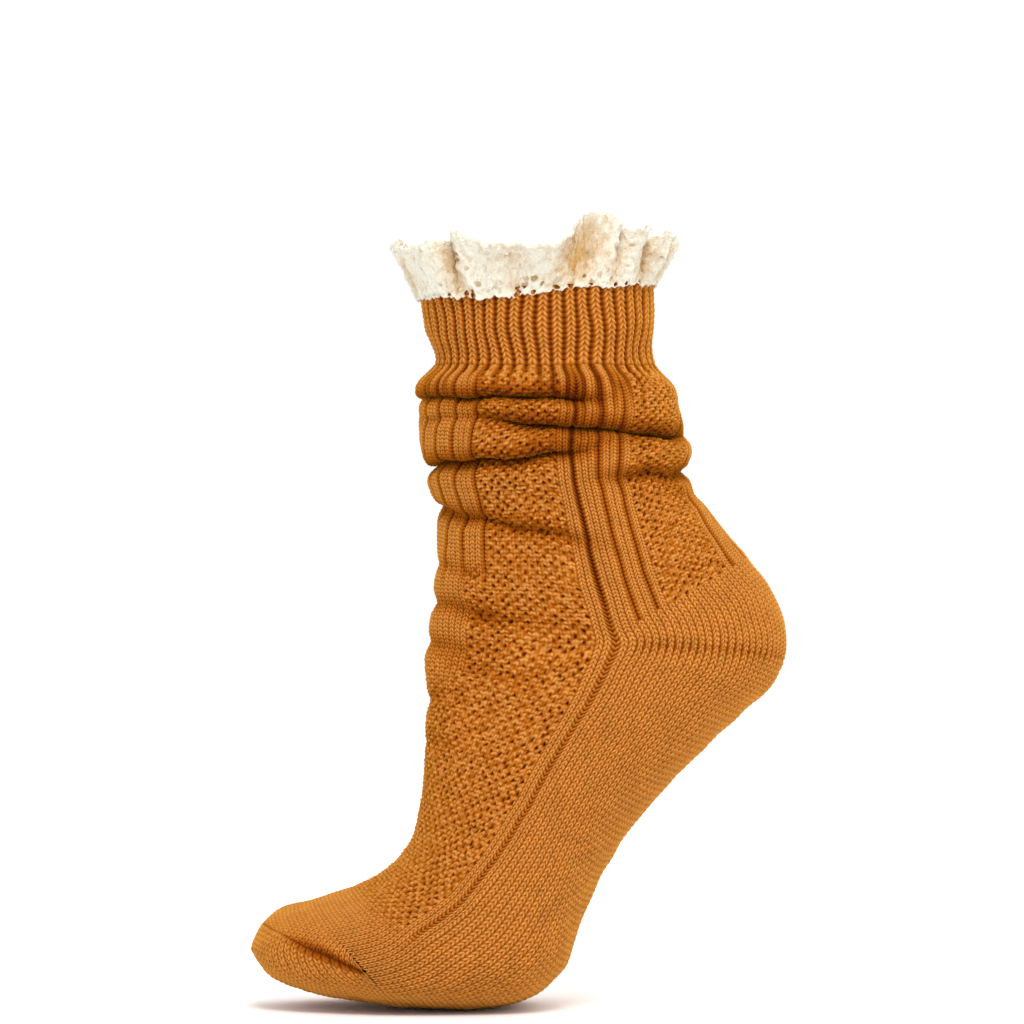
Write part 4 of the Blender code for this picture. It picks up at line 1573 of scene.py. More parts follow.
class Foot:
    """The instep, the turned heel and the sole."""

    UPPER_COURSE = 1.6 * MM  # at the middle of the back, above the gore
    LOWER_COURSE = 1.85 * MM  # and below it
    GORE_POWER = 1.5  # above 1, the gore drops mostly at the middle of the back
    GORE_HEIGHT = -0.3
    GORE_REACH = 2.4 * MM  # of the gaps beside it
    GORE_GAPS = 0.34  # how much deeper they are, in millimetres
    GAP_TENT = 0.3  # a column whose tent is lower lies in a gap between two wales
    PANEL_WIDENS = (4.0, 26.0)  # courses of the instep over which its moss panel widens
    PANEL_ENDS = (70.0, 78.0)  # courses over which it gives way to plain knit

    def __init__(self, form: SockForm) -> None:
        """Lays out the foot's paths.

        Args:
            form: The sock's form.
        """
        self.form = form
        path = straight_down(form, form.station("heel turn starts"), form.station("toe starts"))
        self.front = WalePaths(form, *FRONT, path)
        self.back = WalePaths(form, *BACK, path)
        edge = np.array([FRONT_EDGE])
        self.side_course = float(self.front.total(edge)[0]) / FOOT_COURSES
        self.side_turn = self.back.run_to(edge, form.station("heel turn"))[0]
        self.side_end = self.back.run_to(edge, form.station("heel turn ends"))[0]

    def _behind(self, wales: np.ndarray) -> np.ndarray:
        """How far behind the side each wale lies, from 0 to 1 at the middle of the back."""
        reach = BACK_WALE - FRONT_EDGE
        return np.clip(1 - np.abs(wales - BACK_WALE) / reach, 0, 1)

    def turn(self, wales: np.ndarray) -> tuple[np.ndarray, np.ndarray]:
        """Where the heel's gore and its last course lie along each wale of the back.

        Args:
            wales: The wales.

        Returns:
            Distances of the gore and of the last course.
        """
        behind = self._behind(wales)
        near = (1 - behind) ** 2
        gore = self.back.run_to(wales, self.form.station("heel turn"))
        gore = gore + (TURN_COURSES / 2 * self.side_course - self.side_turn) * near
        gore = gore + GORE_DROP * behind**self.GORE_POWER
        ends = self.back.run_to(wales, self.form.station("heel turn ends"))
        ends = ends + (TURN_COURSES * self.side_course - self.side_end) * near
        return gore, ends

    def instep_course(self, wales: np.ndarray) -> np.ndarray:
        """Height of the instep's courses at these wales of the front, in metres."""
        return self.front.total(wales) / FOOT_COURSES

    def sole_course(self, wales: np.ndarray) -> np.ndarray:
        """Height of the sole's courses at these wales of the back, in metres."""
        return (self.back.total(wales) - self.turn(wales)[1]) / (FOOT_COURSES - TURN_COURSES)

    def heel_courses(self, wales: np.ndarray) -> tuple[np.ndarray, np.ndarray]:
        """Heights of the heel's courses above and below its gore.

        Args:
            wales: Wales of the back.

        Returns:
            Heights in metres.
        """
        behind = self._behind(wales)
        upper = self.side_course + (self.UPPER_COURSE - self.side_course) * behind
        lower = self.side_course + (self.LOWER_COURSE - self.side_course) * behind
        return upper, lower

    def instep(
        self, grid: StitchGrid, middle: StitchGrid, toe: StitchGrid, leg: Border
    ) -> Lattice:
        """The lattice of the instep.

        Args:
            grid: Its wales at the ankle.
            middle: Its wales half way down.
            toe: Its wales near the toe.
            leg: The stitches above it.

        Returns:
            The lattice.
        """
        starts = np.zeros(len(grid.wales))
        ends = self.front.total(grid.wales)
        joins = Neighbours(leg, Border(toe, self.instep_course(grid.wales)))
        fades = [
            Fade(later, LEG_COURSES + first, LEG_COURSES + last)
            for later, (first, last) in ((middle, self.PANEL_WIDENS), (toe, self.PANEL_ENDS))
        ]
        return regular_lattice(grid, FOOT_COURSES, starts, ends, LEG_COURSES, joins, fades)

    def heel(self, grid: StitchGrid, leg: Border) -> Lattice:
        """The lattice of the turned heel.

        Args:
            grid: Its wales, which run on into the sole.
            leg: The stitches above it.

        Returns:
            The lattice.
        """
        gore, ends = self.turn(grid.wales)
        upper, lower = self.heel_courses(grid.wales)
        joins = Neighbours(leg, Border(grid, self.sole_course(grid.wales)))
        made = short_row_lattice(grid, gore, ends, upper, lower, joins, self.GORE_HEIGHT)
        beside = np.exp(-(((made.distances - gore[None]) / self.GORE_REACH) ** 2))
        made.heights -= self.GORE_GAPS * MM * beside * (grid.tent[None] < self.GAP_TENT)
        return made

    def sole(self, grid: StitchGrid) -> Lattice:
        """The lattice of the sole.

        Args:
            grid: Its wales, which come from the heel and run on into the toe.

        Returns:
            The lattice.
        """
        starts = self.turn(grid.wales)[1]
        ends = self.back.total(grid.wales)
        count = FOOT_COURSES - TURN_COURSES
        joins = Neighbours(
            Border(grid, self.heel_courses(grid.wales)[1]),
            Border(grid, np.full(len(grid.wales), TOE_COURSE)),
        )
        return regular_lattice(grid, count, starts, ends, TURN_COURSES, joins)


class Toe:
    """The toe: the last of the instep's pattern, and a plain pocket that is linked to it."""

    SEAM_REACH = 30.0 * MM  # of the linking seam past the start of the toe, at the middle of the top
    SEAM_POWER = 2.15
    SPARE = 2.0 * MM  # how far the paths on top run on past it
    SAMPLES = 400  # of the toe's width
    LEAST_RUN = 0.01 * MM  # from the pocket's gore to the seam
    SEAM_HEIGHT = -0.85
    HIDDEN = 0.6 * MM  # how far the instep runs on under the pocket
    HIDDEN_HEIGHT = -1.05
    LIP = 0.5 * MM  # how far each piece starts under the foot
    LIP_COURSES = 0.3
    LIP_DEPTH = 0.4 * MM
    GORE_HEIGHT = -0.2
    CREASE_DEPTH = 1.0 * MM  # of the crease along the seam, at the sides
    CREASE_REACH = 2.3 * MM
    CREASE_STARTS = 5.0 * MM  # over which it deepens from the start of the toe
    CREASE_WALES = (14.0, 22.0)  # over which it starts, counted from the middle of the front
    BEHIND = FRONT_EDGE - 0.25  # wales from the front, just inside the pocket's first column

    def __init__(self, form: SockForm) -> None:
        """Lays out the toe's paths.

        Args:
            form: The sock's form.
        """
        self.form = form
        self.start = form.station("toe starts")
        end = form.stations[-1]
        sampled = np.linspace(self.start, end, self.SAMPLES)
        row, front_row, back_row = form.HALF_WIDTH, form.FRONT_FULL, form.BACK_FULL
        widths = form.columns(sampled)[row]

        def straight(share: np.ndarray, wale: np.ndarray, tip: float) -> tuple[np.ndarray, ...]:
            """Where wales go that keep their distance from the middle of the foot.

            Args:
                share: Share of the way to where a wale would turn over the side of the toe.
                wale: The wale.
                tip: The longest length along the tube that a wale reaches.

            Returns:
                Angle and distance from the middle at the toe's start, and lengths along the tube.
            """
            first = form.angle_of(np.full_like(wale, self.start), wale)
            at_start = form.columns(np.full_like(wale, self.start))
            full = np.where(np.cos(first) >= 0, at_start[front_row], at_start[back_row])
            beside = at_start[row] * np.abs(np.sin(first)) ** (2 / full)
            turn = np.minimum(np.interp(beside, widths[::-1], sampled[::-1]), tip)
            return first, beside, self.start + (turn - self.start) * share

        def tilt(beside: np.ndarray, width: np.ndarray, full: np.ndarray) -> np.ndarray:
            """Angle at which a ring of this width and fullness lies so far beside the middle."""
            return np.arcsin(np.clip(beside / np.maximum(width, TINY_LENGTH), 0, 1) ** (full / 2))

        def over(share: np.ndarray, wale: np.ndarray) -> tuple[np.ndarray, np.ndarray]:
            """Leads the wales on top down past the seam.

            Args:
                share: Share of the way along the path.
                wale: The wale.

            Returns:
                Lengths along the tube and angles round it.
            """
            tip = self.start + self.SEAM_REACH + self.SPARE
            first, beside, lengths = straight(np.sin(pi / 2 * share), wale, tip)
            there = form.columns(lengths)
            ahead = np.abs(first) <= pi / 2
            full = np.where(ahead, there[front_row], there[back_row])
            angles = tilt(beside, there[row], full)
            return lengths, np.where(ahead, angles, pi - angles) * np.sign(first)

        def round_the_tip(share: np.ndarray, wale: np.ndarray) -> tuple[np.ndarray, np.ndarray]:
            """Leads the wales of the sole round the tip and back on top.

            Args:
                share: Share of the way along the path.
                wale: The wale.

            Returns:
                Lengths along the tube and angles round it.
            """
            first, beside, lengths = straight(np.sin(pi * share), wale, end)
            there = form.columns(lengths)
            back = share > 0.5
            full = np.where(back, there[front_row], there[back_row])
            angles = tilt(beside, there[row], full)
            return lengths, np.where(back, angles, pi - angles) * np.where(np.sin(first) < 0, -1, 1)

        self.top = WalePaths(form, *FRONT, over)
        self.pocket = WalePaths(form, *BACK, round_the_tip)

    def seam_length(self, angles: np.ndarray) -> np.ndarray:
        """Lengths along the tube at which the linking seam lies, at angles in front."""
        turned = np.abs(np.mod(angles + pi, 2 * pi) - pi) / (pi / 2)
        return self.start + self.SEAM_REACH * (1 - np.clip(turned, 0, 1) ** self.SEAM_POWER)

    def _tucked(self, lattice: Lattice) -> Lattice:
        """Starts a piece a little way under the foot, so that no light shows at the join.

        Args:
            lattice: The piece's lattice.

        Returns:
            The lattice with one more row.
        """
        first = (lattice.courses[:1] - self.LIP_COURSES, lattice.distances[:1] - self.LIP)
        courses, distances = map(np.vstack, zip(first, (lattice.courses, lattice.distances)))
        heights = np.vstack([lattice.heights[:1] - self.LIP_DEPTH, lattice.heights])
        return Lattice(lattice.wales, courses, distances, heights)

    def _creased(self, lattice: Lattice, grid: StitchGrid, seam: np.ndarray) -> Lattice:
        """Sinks the cloth beside the seam, where the side of the toe is creased.

        Args:
            lattice: The lattice of a piece that ends at the seam.
            grid: Its wales.
            seam: Distance of the seam along each column.

        Returns:
            The lattice.
        """
        first, last = self.CREASE_WALES
        wales = grid.wales_from_front()
        over_the_tip = (BACK_WALE - wales) * SIDE_WALE / (BACK_WALE - SIDE_WALE)
        across = np.where(wales > self.BEHIND, over_the_tip, wales)
        strength = eased((across - first) / (last - first))
        sunk = np.exp(-(((seam[None] - lattice.distances) / self.CREASE_REACH) ** 2))
        sunk = sunk * eased(lattice.distances / self.CREASE_STARTS)
        lattice.heights -= self.CREASE_DEPTH * strength[None] * sunk
        return lattice

    def top_lattice(self, grid: StitchGrid, instep: WalePaths) -> Lattice:
        """The lattice of the pattern's last courses, which end at the seam.

        Args:
            grid: Its wales.
            instep: The instep's paths, whose courses it carries on.

        Returns:
            The lattice.
        """
        past = self.top.lengths - self.seam_length(self.top.angles)
        share = np.linspace(0.0, 1.0, WalePaths.SAMPLES)
        runs = [
            np.interp(0.0, past[:, k], share) * self.top.totals[k]
            for k in range(len(self.top.wales))
        ]
        seam = np.interp(grid.wales, self.top.wales, runs) + self.HIDDEN
        course = instep.total(grid.wales) / FOOT_COURSES  # as on the instep, so that they match
        rows, between = course_rows(int(np.ceil((seam / course).max())))
        distances = np.minimum((rows[:, None] - grid.slants()[None]) * course[None], seam[None])
        distances[-1] = seam
        courses = rows[:, None] + np.zeros((1, len(grid.wales)))
        courses = courses + LEG_COURSES + FOOT_COURSES
        heights = stitch_heights(grid, courses, between)
        heights = np.where(seam[None] - distances < SAME_PLACE, self.HIDDEN_HEIGHT, heights)
        made = Lattice(grid.wales, courses, distances, heights * MM)
        return self._tucked(self._creased(made, grid, seam))

    def pocket_lattice(self, grid: StitchGrid, sole: Border) -> Lattice:
        """The lattice of the pocket, from the sole round the tip to the seam.

        Args:
            grid: Its wales.
            sole: The stitches that it carries on.

        Returns:
            The lattice.
        """
        paths = self.pocket
        even = np.linspace(0.0, 1.0, WalePaths.SAMPLES)
        gores, seams = [], []
        for k in range(len(paths.wales)):
            turn = int(np.argmax(paths.lengths[:, k]))
            gores.append(even[turn] * paths.totals[k])
            past = self.seam_length(paths.angles[turn:, k]) - paths.lengths[turn:, k]
            seams.append(np.interp(0.0, past, even[turn:]) * paths.totals[k])
        gore = np.interp(grid.wales, paths.wales, gores)
        seam = np.interp(grid.wales, paths.wales, seams)
        seam = np.maximum(seam, gore + self.LEAST_RUN)
        course = np.full(len(grid.wales), TOE_COURSE)
        joins = Neighbours(sole, None)
        heights = self.GORE_HEIGHT, self.SEAM_HEIGHT
        made = short_row_lattice(grid, gore, seam, course, course, joins, *heights)
        return self._tucked(self._creased(made, grid, seam))


class LaceEdge(NamedTuple):
    """The ruffle at one place round the cuff, in millimetres from the cuff's top edge."""

    degrees: float  # from the middle of the front, past the side facing -Y
    foot: float  # how far down its foot is sewn
    rise: float  # how far up its free edge stands
    curl: float  # how far the free edge curls over outwards


LACE_EDGES = tuple(
    LaceEdge(*numbers)
    for numbers in (
        (6, 1.2, 19.0, 0.0), (20, 1.0, 16.0, 1.0), (33, 1.4, 15.5, 0.5), (45, 2.0, 17.5, 0.0),
        (53, 2.2, 20.5, 0.0), (61, 2.7, 17.0, 0.5), (69, 3.0, 16.0, 2.5), (76, 3.0, 17.5, 4.0),
        (84, 2.7, 16.0, 5.0), (92, 2.3, 16.0, 4.5), (99, 1.8, 19.5, 1.5), (106, 1.1, 20.5, 0.0),
        (115, 1.4, 24.5, 0.0), (124, 1.8, 20.5, 1.0), (133, 1.6, 18.0, 2.0), (142, 1.3, 18.5, 0.5),
        (151, 1.5, 14.0, 0.0), (161, 1.4, 16.5, 0.0), (174, 1.0, 12.5, 0.0), (186, 1.5, 15.5, 0.0),
        (202, 2.2, 14.0, 1.5), (219, 1.8, 16.5, 0.0), (236, 2.4, 14.5, 2.0), (252, 2.0, 17.0, 0.5),
        (268, 2.6, 15.0, 2.5), (286, 2.2, 16.5, 1.0), (303, 1.7, 15.0, 0.0), (320, 2.3, 16.0, 1.5),
        (339, 1.5, 14.5, 0.0),
    )
)


class LaceFold(NamedTuple):
    """A valley between two lobes of the ruffle."""

    name: str
    degrees: float
    half_width: float  # in degrees
    depth: float  # share of the full depth of a valley
    lap: float  # millimetres by which the lobe before it hangs over it, or after it below zero


LACE_FOLDS = (
    LaceFold("under the front tip", 9, 5.0, 0.6, -1.0),
    LaceFold("beside the front lobe", 48, 4.2, 1.0, -2.4),
    LaceFold("dimple in the broad lobe", 76, 5.0, 0.22, 0.0),
    LaceFold("under the broad lobe", 106, 8.5, 1.25, 3.4),
    LaceFold("behind the high lobe", 128, 3.2, 0.45, -1.2),
    LaceFold("before the back lobe", 148, 5.5, 0.95, -2.2),
    LaceFold("split of the back tip", 168, 3.4, 0.65, 1.2),
    LaceFold("back, inner", 191, 5.0, 0.9, 1.5),
    LaceFold("far side, back", 221, 5.5, 1.0, -2.4),
    LaceFold("far side, behind the middle", 247, 4.5, 0.9, 2.0),
    LaceFold("far side, middle", 273, 6.0, 1.05, -2.6),
    LaceFold("far side, before the middle", 298, 4.8, 0.8, 1.6),
    LaceFold("far side, front", 325, 5.5, 1.0, 2.4),
    LaceFold("front, inner", 346, 4.4, 0.6, -1.2),
)


class LaceRow(NamedTuple):
    """A row of the crochet chart, from the foot of the ruffle up."""

    height: float  # share of the ruffle's height
    chance: float  # of a hole in each of its cells on the far side
    nubs: float  # height of its loops, in millimetres


LACE_ROWS = tuple(
    LaceRow(*numbers)
    for numbers in (
        (0.10, 0.16, 0.08), (0.11, 0.28, 0.06), (0.10, 0.12, 0.12), (0.11, 0.07, 0.08),
        (0.10, 0.03, 0.14), (0.11, 0.06, 0.08), (0.11, 0.05, 0.14), (0.10, 0.04, 0.08),
        (0.09, 0.0, 0.14), (0.09, 0.0, 0.12),
    )
)


class LaceHole(NamedTuple):
    """A hole on the side facing -Y."""

    degrees: float
    row: int
    wide: float  # share of the cell
    high: float


LACE_HOLES = tuple(
    LaceHole(*numbers)
    for numbers in (
        (14, 1, 0.6, 0.6), (41, 0, 0.6, 0.7), (52, 0, 0.85, 0.9), (58, 0, 0.8, 0.9), (79, 0, 0.9, 0.9),
        (86, 0, 0.6, 0.8), (96, 0, 0.9, 0.8), (102, 0, 0.8, 0.9), (116, 0, 0.7, 0.8),
        (129, 0, 0.7, 0.7), (137, 0, 0.7, 0.8), (146, 0, 0.6, 0.7), (24, 3, 0.4, 0.5),
        (30, 5, 0.3, 0.4), (37, 2, 0.4, 0.4), (49, 1, 0.7, 0.7), (50, 4, 0.5, 0.6), (51, 5, 0.6, 0.6),
        (53, 6, 0.75, 0.6), (56, 1, 0.8, 0.9), (60, 2, 0.75, 0.9), (57, 4, 0.4, 0.5), (66, 7, 0.6, 0.6),
        (67, 1, 0.4, 0.5), (74, 6, 0.45, 0.4), (77, 1, 0.7, 0.6), (80, 2, 0.7, 0.5), (82, 1, 0.85, 0.8),
        (85, 2, 0.7, 0.95), (89, 1, 0.5, 0.6), (98, 1, 0.85, 0.9), (103, 2, 0.6, 0.7),
        (110, 4, 0.65, 0.5), (111, 1, 0.5, 0.5), (119, 1, 0.55, 0.6), (122, 2, 0.5, 0.6),
        (127, 1, 0.55, 0.7), (131, 6, 0.4, 0.5), (143, 1, 0.55, 0.6), (150, 3, 0.5, 0.6),
        (158, 5, 0.4, 0.4), (166, 2, 0.5, 0.6),
    )
)


class Lumps:
    """Smooth random numbers from -1 to 1 over the ruffle, which close round the cuff."""

    def __init__(self, seed: int, around: int, up: int) -> None:
        """Draws so many lumps round the cuff and up the ruffle."""
        self.values = np.random.default_rng(seed).uniform(-1, 1, (up + 1, around))

    def at(self, turns: np.ndarray, shares: np.ndarray) -> np.ndarray:
        """The number at any places.

        Args:
            turns: Angles round the cuff.
            shares: Shares of the ruffle's height, in an array of the same shape.

        Returns:
            The numbers.
        """
        rows, columns = self.values.shape
        across, up = np.mod(turns / (2 * pi), 1) * columns, np.clip(shares, 0, 1) * (rows - 1)
        column, row = np.floor(across).astype(int), np.clip(np.floor(up), 0, rows - 2).astype(int)
        beside, above = eased(across - column), eased(up - row)
        column, after = column % columns, (column + 1) % columns
        lower = self.values[row, column] * (1 - beside) + self.values[row, after] * beside
        upper = self.values[row + 1, column] * (1 - beside) + self.values[row + 1, after] * beside
        return lower * (1 - above) + upper * above


class LaceRuffle:
    """The crocheted ruffle: gathered round the cuff's top edge, with real holes in its mesh."""

    THREAD = 0.95 * MM  # thickness of the crochet
    THINNEST = 0.12 * MM  # half of it, between two knots
    EDGE_SHARE = 0.35  # of that thickness is left at the rim of a hole
    SMOOTHED = radians(2.5)  # on either side, by which its table is smoothed
    STAND_OFF = 0.62 * MM  # of its middle from the cuff's face, up to the cuff's top edge
    LEAST_SWING = 0.8  # of that is left in the deepest valley
    LEAN = 5.0 * MM  # how far the free edge leans out, between lobes and valleys
    BACK_LEAN = 1.4 * MM  # and how much less at the back than at the front
    LEAN_POWER = 1.2
    LOBE = 4.6 * MM  # how far a lobe bulges out over that
    VALLEY = 8.4 * MM  # how far a valley lies behind a lobe
    FOLD_POWER = 0.68  # below 1, the folds start close to the cuff's top edge
    BUCKLE = 0.9 * MM  # of the soft dents between the folds
    POINTS = 1.3 * MM  # height of the uneven points of the free edge
    SMALL_POINTS = 0.7 * MM  # and of those on them
    POINT_POWER = 0.7  # below 1, the points are rounder than the dips between them
    EDGE_POWER = 4  # above 1, they show near the free edge alone
    SEWN = 0.55 * MM  # how far the foot wanders up and down
    LOOPS = 0.38 * MM  # how far the loops of the crochet stand out of its face
    KNOTS = 0.32 * MM  # and the smaller knots
    ASTRAY = 0.3  # how far they lie from their even places, in cells
    FOLD_SHADE = 0.8  # painted shade: how much warmer and darker the thread is coloured in a valley
    RIM_SHADE = 0.2  # painted shade at the rim of a hole, likewise
    RELIEF_SHADE = (0.1, 0.14, 0.16)  # painted light and shade: how much lighter it is coloured on raised stitches, loops and knots, and darker between them
    CURL_FROM = 0.55  # share of the height where the edge starts to curl
    CURL_OUT = 0.9  # how far the curl leads the edge out, as a share of its length
    CURL_UP = 0.5  # how far it leads the ruffle up first
    CURL_DOWN = 1.3  # and how far down at the edge
    HOLE_SIZES = (0.4, 0.85)  # shares of a cell, on the far side
    ROUNDED = (0.4, 1.9)  # of a hole's radius, between which its rim is drawn to a round
    NO_HOLE = 1e-6  # half size of a hole that isn't there, in cells
    NEAR_SIDE = 180.0  # degrees, from the front, that have their holes from the table
    CELLS = 99
    ACROSS_CELL = 7
    UP_CELL = 6

    def __init__(self, form: SockForm) -> None:
        """Keeps the form that the ruffle is sewn to.

        Args:
            form: The sock's form.
        """
        self.form = form
        # Each takes its seed, and its number of lumps round the cuff and up the ruffle.
        self.buckles = Lumps(SEED, 56, 2)
        self.points = Lumps(SEED + 1, 128, 1)
        self.small_points = Lumps(SEED + 2, 300, 1)
        self.loops = Lumps(SEED + 3, 165, 9)
        self.knots = Lumps(SEED + 4, 330, 17)
        self.astray = Lumps(SEED + 5, 120, 8)

    @staticmethod
    def edge(turns: np.ndarray) -> tuple[np.ndarray, np.ndarray, np.ndarray]:
        """The ruffle's table at any angles, smoothed.

        Args:
            turns: Angles round the cuff.

        Returns:
            Depth of the foot, rise and curl, in metres.
        """
        places = np.radians([edge.degrees for edge in LACE_EDGES])
        around = np.concatenate([places - 2 * pi, places, places + 2 * pi])
        nearby = LaceRuffle.SMOOTHED * np.linspace(-1, 1, 7)
        found = []
        for values in np.array([edge[1:] for edge in LACE_EDGES]).T:
            sampled = np.interp(np.mod(turns, 2 * pi)[:, None] + nearby, around, np.tile(values, 3))
            found.append(sampled.mean(axis=1) * MM)
        return found[0], found[1], found[2]

    @staticmethod
    def folds(turns: np.ndarray) -> tuple[np.ndarray, np.ndarray]:
        """How deep in a valley each angle lies, and how far the lobe beside it laps over.

        Args:
            turns: Angles round the cuff.

        Returns:
            Shares of a full valley, and distances round the cuff in metres.
        """
        pinch, lap = np.zeros_like(turns), np.zeros_like(turns)
        for fold in LACE_FOLDS:
            past = (np.degrees(turns) - fold.degrees + 180) % 360 - 180
            pinch += fold.depth * np.exp(-((past / fold.half_width) ** 2))
            lip = past + np.sign(fold.lap) * fold.half_width
            lap += fold.lap * MM * np.exp(-((lip / fold.half_width) ** 2))
        return pinch, lap

    def surface(self, turns: np.ndarray, shares: np.ndarray) -> np.ndarray:
        """Points of the ruffle's middle surface.

        Args:
            turns: Angles round the cuff.
            shares: How far up the ruffle, from 0 at its sewn foot to 1 at its free edge.

        Returns:
            Points as an array (shares, turns, 3).
        """
        foot, rise, curl = self.edge(turns)
        ring = self.form.cloth(np.zeros_like(turns), turns)
        out = self.form.outward(np.zeros_like(turns), turns)
        out[:, 2] = 0
        out /= np.linalg.norm(out, axis=1, keepdims=True)
        up = np.array([0.0, 0.0, 1.0])
        around = np.cross(out, up)
        around *= np.sign((around * np.gradient(ring, axis=0)).sum(axis=1))[:, None]

        share = shares[:, None]
        at_rim = (foot / (foot + rise))[None]
        free = np.clip((share - at_rim) / (1 - at_rim), 0, 1)
        pinch, lap = self.folds(turns)
        folded = free**self.FOLD_POWER
        buckle = self.buckles.at(turns[None] + 0 * share, share + 0 * turns[None])
        lean = self.LEAN - self.BACK_LEAN * (1 - np.cos(turns)) / 2
        swing = self.STAND_OFF + lean * free**self.LEAN_POWER
        swing = swing + (self.LOBE - self.VALLEY * pinch) * folded + self.BUCKLE * buckle * folded
        curled = np.clip((share - self.CURL_FROM) / (1 - self.CURL_FROM), 0, 1)
        swing = np.maximum(swing, self.STAND_OFF * self.LEAST_SWING) + self.CURL_OUT * curl * curled
        ends = np.zeros_like(turns)
        ragged = self.POINTS * np.abs(self.points.at(turns, ends + 1)) ** self.POINT_POWER
        ragged = ragged + self.SMALL_POINTS * self.small_points.at(turns, ends + 1)
        foot = foot + self.SEWN * (self.points.at(turns, ends) + self.small_points.at(turns, ends))
        height = -foot + (foot + rise + self.CURL_UP * curl) * share
        height = height - self.CURL_DOWN * curl * curled**2 + ragged * share**self.EDGE_POWER
        return (
            ring[None]
            + out[None] * swing[..., None]
            + up[None, None] * height[..., None]
            + around[None] * (lap * folded)[..., None]
        )

    def _share_rows(self) -> tuple[np.ndarray, np.ndarray]:
        """Where the rows of the mesh lie.

        Returns:
            Their shares of the ruffle's height, and their chart coordinates: row number plus part.
        """
        sizes = np.array([row.height for row in LACE_ROWS])
        edges = np.concatenate([[0.0], np.cumsum(sizes / sizes.sum())])
        chart = np.arange(len(LACE_ROWS) * self.UP_CELL + 1) / self.UP_CELL
        return np.interp(chart, np.arange(len(edges)), edges), chart

    def build(self, material: bpy.types.Material) -> SheetCut:
        """Args:
            material: Its thread.

        Returns:
            The ruffle's flat cut.
        """
        shares, chart = self._share_rows()
        columns = self.CELLS * self.ACROSS_CELL
        cell = np.arange(columns) / self.ACROSS_CELL
        holes = self._holes()
        moved_cell = cell[None] + np.zeros((len(chart), 1))
        moved_chart = chart[:, None] + np.zeros((1, columns))
        open_face, moved_cell, moved_chart = self._cut_holes(holes, moved_cell, moved_chart)
        turns = cell * 2 * pi / self.CELLS
        middle = smooth = self.surface(turns, shares)
        down, around = np.gradient(middle, axis=0), self._wrapped_gradient(middle)
        places = turns[None] + 0 * shares[:, None], shares[:, None] + 0 * turns[None]
        inside = np.sin(pi * places[1])
        moved_cell = moved_cell + self.ASTRAY * self.astray.at(*places) * inside
        moved_chart = moved_chart + self.ASTRAY * self.astray.at(places[0] + 1, places[1]) * inside
        slip_row = (moved_chart - chart[:, None])[..., None] * self.UP_CELL
        slip_column = (moved_cell - cell[None])[..., None] * self.ACROSS_CELL
        middle = middle + down * slip_row + around * slip_column
        normals = np.cross(around, down)
        normals /= np.linalg.norm(normals, axis=2, keepdims=True)

        rows, count = middle.shape[:2]
        number = np.arange(rows * count).reshape(rows, count)
        wrapped = np.hstack([number, number[:, :1]])
        corners = np.stack(
            [wrapped[:-1, :-1], wrapped[:-1, 1:], wrapped[1:, 1:], wrapped[1:, :-1]], axis=-1
        )[~open_face]
        rims, rim_vertices = self._rims(corners)
        thin = np.zeros(rows * count, bool)
        thin[rim_vertices] = True
        row_of = np.clip(moved_chart.astype(int), 0, len(LACE_ROWS) - 1)
        size = np.array([row.nubs for row in LACE_ROWS])[row_of] * MM
        even = np.cos(4 * pi * moved_cell + pi * row_of) * np.cos(2 * pi * moved_chart)
        loops, knots = self.loops.at(*places), self.knots.at(*places)
        edge = np.where(thin.reshape(rows, count), self.EDGE_SHARE, 1.0)
        half = self.THREAD / 2 + size * even + self.KNOTS * knots
        half = np.maximum(half, self.THINNEST) * edge
        middle = middle + normals * (self.LOOPS * loops * edge)[..., None]
        front = (middle + normals * half[..., None]).reshape(-1, 3)
        back = (middle - normals * half[..., None]).reshape(-1, 3)
        total = rows * count
        quads = np.concatenate([corners, corners[:, ::-1] + total])
        sides = np.stack([rims[:, 1], rims[:, 0], rims[:, 0] + total, rims[:, 1] + total], axis=1)
        quads = np.concatenate([quads, sides])
        triangles = np.concatenate([quads[:, [0, 1, 2]], quads[:, [0, 2, 3]]])
        used, index = np.unique(triangles, return_inverse=True)
        # Painted shade: warmer in the valleys and at the rims, lighter on raised stitches, loops and
        # knots and darker between them.
        fold_shade = np.clip(self.folds(turns)[0], 0, 1)[None] ** 0.5 * inside**0.5
        raised = (share * part for share, part in zip(self.RELIEF_SHADE, (even, loops, knots)))
        depth = sum(raised, start=1.0) - self.FOLD_SHADE * fold_shade
        depth = depth - self.RIM_SHADE * thin.reshape(rows, count)
        depth = np.clip(depth, 0, 1).ravel()
        mesh = ClothMesh(
            points=np.concatenate([front, back])[used],
            triangles=index.reshape(-1, 3),
            depth=np.tile(depth, 2)[used],
        )
        made = mesh.dressed("lace_ruffle_crochet", material)
        closed = np.concatenate([smooth, smooth[:, :1]], axis=1)
        steps = np.linalg.norm(np.diff(closed[rows * 3 // 4], axis=0), axis=1)
        climb = np.linalg.norm(np.diff(smooth, axis=0), axis=2).sum(axis=0)
        cut = SheetCut(float(steps.sum()), float(climb.mean()), "gathered")
        declare(made, CREAM_SLOT, cut, "lace_ruffle")
        share = mesh.area() / cut.area / 2
        LOG.info("lace: %d triangles, %.2f of the cut on each face", len(mesh.triangles), share)
        return cut

